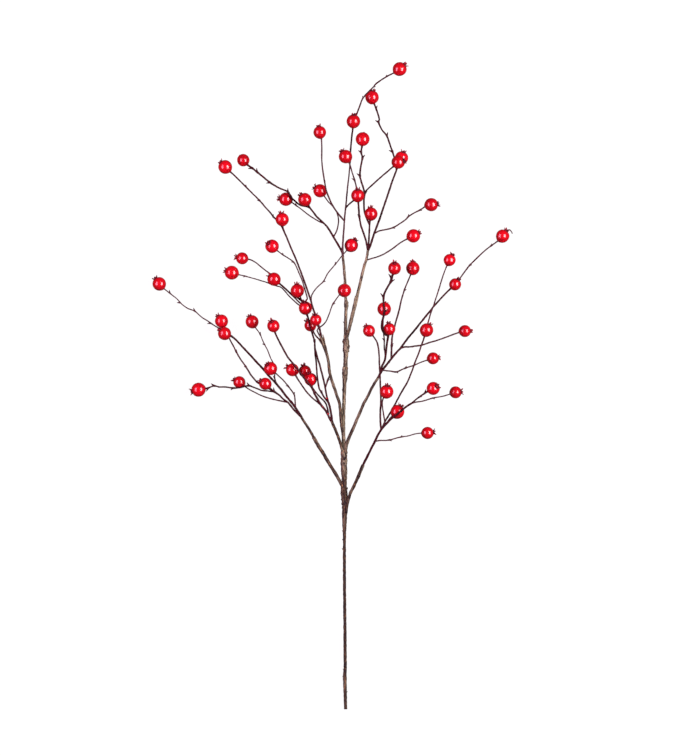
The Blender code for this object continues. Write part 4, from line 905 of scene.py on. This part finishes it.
MIDDLE_RIGHT = [
    (3.2, 2.2, [(345, 453, 26), (346.3, 446, 26.6), (348, 440, 27.2), (350, 435.5, 27.6), (352, 431, 28),
        (355, 424, 28.6), (358, 417, 29), (361, 410, 29.3), (364, 403, 29.5), (368, 396, 29.6),
        (371, 389.5, 29.6), (375, 382.5, 29.5), (378, 378, 29.3)], None),
    (2.0, 1.3, [(376.5, 380.4, 29.4), (380, 374, 29), (384, 368, 28.5), (388, 363, 28), (392, 358, 27.5),
        (396, 353, 26.8), (401, 347.5, 26), (408, 338, 25), (414, 331, 24), (420, 323.5, 23),
        (426, 316, 22), (431, 310, 21), (434, 306, 20.5), (440, 299.5, 19.8), (446, 293, 19.3),
        (450.5, 288.7, 19)], (455.2, 284.3, 19, 5.8, (4, -6, 2))),
    (1.2, 0.95, [(441, 298.4, 19.6), (446, 293, 16), (450.5, 288.5, 12.6), (455, 284, 10.8),
        (459, 279.5, 9.6), (462, 275.5, 9), (466, 270, 8.5), (470, 265, 8.2, 0.35), (478, 257, 7.5),
        (485, 250.5, 7), (491.5, 245.5, 6.5, -0.3), (498, 240.8, 6)],
        (502.8, 235.9, 5.5, 6.4, (4, -6, 1))),
    (1.0, 0.7, [(506, 231.5, 7), (508.5, 229.4, 7.6), (511, 230.4, 7.6), (512.6, 233.4, 7.2)], None),
    (1.1, 0.8, [(382.6, 370.2, 28.7), (391, 371.3, 27.8), (396.5, 372, 27.3, 0.35), (401, 370, 27),
        (405.5, 368, 26.6, -0.4), (411, 366.3, 26.2), (415, 365, 25.9), (418, 363.5, 25.6),
        (423, 361.5, 25.2), (427, 360.2, 24.9)], (433.1, 358.3, 24.5, 5.8, (7, -1, 1))),
    (1.4, 1, [(400, 348.6, 26.1), (404, 347, 25.3), (410, 346.8, 23.8), (417, 345.8, 22),
        (422.5, 345, 20.5), (428, 343, 18.6), (435, 341, 16.2), (441, 339, 14), (448, 336.5, 11.2),
        (455, 333.8, 8.2), (459.5, 332.3, 6.4)], (465.1, 331, 5, 5.8, (7, 0, 0.5))),
    (1.6, 0.95, [(391.4, 358.8, 27.6), (391.5, 352, 28.2), (391.8, 345, 29, 0.4), (392, 339, 29.6),
        (393, 333, 30.2), (395, 325, 31.4), (396.3, 320, 32.2), (398, 314.5, 33.2), (399.7, 308, 34.6),
        (400.6, 303, 35.6), (402.5, 296, 37), (404.2, 290.5, 38.2, 0.5), (405.7, 286.5, 39),
        (408, 281, 40.5), (410.5, 275, 42)], (412.8, 268.3, 43.5, 6.5, (0, -7, -3))),
    (1.85, 1.6, [(379.6, 375, 29.1), (382, 366, 31), (384.5, 361, 32.4), (385.6, 356, 33.6),
        (386.2, 350, 35), (387, 343, 36.8), (388, 337, 38.6), (387.3, 335.3, 39.4), (385, 334.5, 40.2),
        (382.8, 331, 41.6), (381.6, 327, 43.2), (382, 322, 45), (383, 318.5, 46), (384.3, 312, 47.6, 1.3),
        (384, 307, 48.6), (383.5, 302, 49.6), (383.5, 297, 50.6, -1.3), (384.3, 294, 51.2),
        (386, 290, 52), (388.5, 285.5, 53), (390.7, 281.7, 53.8, 1.3), (391.5, 278, 54.6, -1.4),
        (392.6, 275, 55.4)], (394.5, 268.3, 57, 6.2, (0, -8, 6))),
    (1.6, 1.5, [(388, 338.5, 38.2), (388.3, 335.2, 39)], (389.4, 329.1, 41, 5.8, (-1, -8, 2))),
    (1.1, 0.9, [(385.5, 358, 33.1), (385, 353, 32.6), (384.2, 347, 32.6), (384.3, 340, 32.8, -0.6),
        (383.6, 334, 33.4), (383.1, 328, 34), (383, 322, 34.6), (383.4, 316.5, 35.4)],
        (384.2, 309, 36.5, 6.6, (1, -6, -5))),
]

grow_spray("spray_middle_right", MIDDLE_RIGHT, seed=25, sleeve_tone=0.45)

# The upper right spray
# The shoot nearest the leader's own hips, in a sleeve of bark bound to the stem's right,
# with eight hips. A strip of the bark has come loose along the sleeve.

UPPER_RIGHT = [
    (2.8, 2.6, [(346.4, 340, 38.2), (348, 333, 38.8), (350, 326, 39.8), (352, 318, 41), (354, 310, 42.4),
        (356, 302, 43.8), (357.2, 296.4, 44.6)], None),
    (2.7, 2.2, [(356.6, 299, 44.2), (358, 292, 45.2), (360, 284, 46.2), (362, 275, 47.4),
        (364.5, 265, 48.6), (366.5, 259, 49.3), (368, 250, 50.4)], None),
    (1.1, 1, [(366.2, 260.4, 49.2), (370, 259, 48.5), (377, 257, 47), (384, 254, 45), (392, 249, 42.5),
        (400, 243, 40), (407, 239, 38)], (413.4, 235.8, 36.5, 6.5, (7, -4, 0.5))),
    (1.8, 1.4, [(367.8, 251.5, 50.2), (371, 243.5, 51), (374.5, 232.5, 51.5), (377, 226, 51.6),
        (380, 218, 51.6), (383, 209, 51.5), (386, 200, 51.3), (389, 191, 51), (392, 182, 50.8),
        (395, 174, 50.5), (397, 169, 50.2), (399, 164, 50)], (401.5, 158, 49.5, 6.4, (2, -6, 2))),
    (1.3, 1.4, [(396.4, 170.6, 50.3), (395.3, 163, 50.4), (394, 156.5, 50.6), (392.5, 152, 50.5, -1),
        (390, 145, 50), (386.8, 136, 49.4, 1), (382, 130, 49), (378.5, 122.5, 48.6, -1),
        (379.3, 119, 48.4), (376, 108.5, 47.6, 0.7), (374, 103.5, 47)],
        (372, 97.3, 46, 6.5, (1, -6, 0.5))),
    (1.1, 1, [(374, 234, 51.5), (379, 231, 50.5), (384, 230, 49), (393, 227.7, 46, 0.4),
        (400, 223.5, 43.5), (406, 219.3, 41.2), (408.5, 216.5, 40, -0.5), (414, 213, 38),
        (420, 210, 36, 0.35), (424.5, 207, 34)], (431.3, 204.6, 32, 6.4, (7, -1, 0.5))),
    (1.5, 1.4, [(368, 251, 50.3), (368.7, 243, 52), (369, 236, 53.5), (369.4, 229, 55),
        (369.7, 223, 56.2)], (371, 214, 58, 6.3, (-1, -7, 1))),
    (1.5, 1.4, [(369.6, 225, 55.8), (366, 217, 56.8), (364.2, 210, 57.5), (364, 200, 58.5),
        (364.6, 194, 59, 1), (363.3, 188, 59.4), (361, 181, 59.8), (359.9, 176, 60, -1),
        (360.5, 168, 60.4), (362.4, 158, 60.8, 1), (361, 152.5, 61, -0.8), (362, 147, 61.2)],
        (362.6, 139.3, 61.5, 6.7, (1, -3, -5))),
    (1.6, 1.4, [(367.8, 250.5, 50.3), (366, 241, 52), (363.8, 234, 53.5), (361, 226, 55),
        (359.2, 216, 57, -0.4), (358.6, 208, 58.8), (358.3, 203, 60.4)],
        (357.7, 195.7, 63, 6.4, (0, -7, 3))),
    (1.25, 0.85, [(359.4, 217, 56.8), (358.7, 206, 55.4), (357.5, 196, 54.7), (356.2, 186.5, 54.7),
        (354.5, 180, 55, -0.7), (352, 172, 55.8), (350, 165, 56.6)],
        (345.5, 156.7, 58, 6.5, (-4, -6, 1))),
]

grow_spray("spray_upper_right", UPPER_RIGHT, seed=26, sleeve_tone=0.8)

# the strip down its left side, which ends in a step, and the nub across from it
SIDE_STRIP = [
    (345.8, 341, 38.6, 1.9), (349.0, 326, 40.6, 2.0), (352.7, 310, 43.2, 2.0),
    (355.1, 299.5, 45.0, 2.1), (355.8, 296, 45.6, 2.0),
]
SIDE_STRIP_TONE = 0.65
SIDE_NUB = (357, 308, 43)
SIDE_NUB_SIDE = 0.8
SIDE_NUB_TONE = 0.4

form = new_form()
strip = [Vector(point) for point in SIDE_STRIP]
line = smooth_line(strip, STEM_STEP)
add_bar(form, line, BUD_SIDES, SIDE_STRIP_TONE, WRAP_RELIEF, WRAP_GRAIN)
add_nub(form, strip, SIDE_NUB, SIDE_NUB_SIDE, SIDE_NUB_TONE)
finish_piece(form, "spray_upper_right_strip", stem_bark, "spray_upper_right")

# The stage
# A pale floor under the sprig, a soft box on either side and a camera that looks straight
# down from far above, as the photograph was taken.

VIEW_CENTRE = (345.0, 378.0)  # the plan point in the middle of the picture
VIEW_HEIGHT = 756 * UNIT      # metres that the picture's height takes in
VIEW_LEVEL = 40               # the height at which a plan unit is as long as on the plan
CAMERA_DISTANCE = 30.0        # metres from there
CAMERA_REACH = 100            # metres to the farthest thing that it takes in
SENSOR = 36.0                 # mm, along the picture's longer side
LIGHT_DISTANCE = 3.0
FLOOR_HALF = 30               # metres from the floor's middle to its edges
ROOM_LIGHT = 0.07

floor_mesh = bpy.data.meshes.new("floor")
corners = [(x * FLOOR_HALF, y * FLOOR_HALF, 0) for x, y in ((-1, -1), (1, -1), (1, 1), (-1, 1))]
floor_mesh.from_pydata(corners, [], [(0, 1, 2, 3)])
floor = bpy.data.objects.new("floor", floor_mesh)
bpy.context.scene.collection.objects.link(floor)
floor.visible_glossy = False
floor.visible_diffuse = False
# Opal acrylic, lit from below, so that only faint shadows show on it.
lit_opal, _, surface = new_material("lit_opal_acrylic")
set_inputs(surface, {"Base Color": linear("#404040"), "Roughness": 0.9, "Specular IOR Level": 0.0,
                     "Emission Strength": 0.96, "Emission Color": linear("#ffffff")})
floor_mesh.materials.append(lit_opal)

# name, lean from straight overhead, width, height, power in watts, colour
SOFT_BOXES = [("right_soft_box", 42, 1.4, 2.6, 188.0, "#fff4fd"),
              ("left_soft_box", -47, 1.4, 2.7, 112.0, "#ffc8f2")]
BOX_TILT = 5                  # degrees towards the sprig's tip
for name, lean, width, height, power, colour in SOFT_BOXES:
    towards = Vector((math.sin(math.radians(lean)), math.sin(math.radians(BOX_TILT)),
                      math.cos(math.radians(lean)))).normalized()
    lamp = bpy.data.lights.new(name, "AREA")
    lamp.shape = "RECTANGLE"
    lamp.size = height
    lamp.size_y = width
    lamp.energy = power
    lamp.color = linear(colour)[:3]
    holder = bpy.data.objects.new(name, lamp)
    holder.location = towards * LIGHT_DISTANCE
    holder.rotation_euler = towards.to_track_quat("Z", "Y").to_euler()
    holder.visible_camera = False
    bpy.context.scene.collection.objects.link(holder)

sky = bpy.data.worlds.new("dim_room")
sky.use_nodes = True
sky.node_tree.nodes["Background"].inputs["Color"].default_value = linear("#ffffff")
sky.node_tree.nodes["Background"].inputs["Strength"].default_value = ROOM_LIGHT
bpy.context.scene.world = sky
bpy.context.scene.view_settings.view_transform = "Standard"

eye = bpy.data.cameras.new("overhead_camera")
eye.sensor_width = SENSOR
eye.lens = SENSOR * CAMERA_DISTANCE / VIEW_HEIGHT
eye.clip_end = CAMERA_REACH
camera = bpy.data.objects.new("overhead_camera", eye)
camera.location = place(*VIEW_CENTRE, VIEW_LEVEL) + Vector((0, 0, CAMERA_DISTANCE))
bpy.context.scene.collection.objects.link(camera)
bpy.context.scene.camera = camera

bpy.context.view_layer.update()
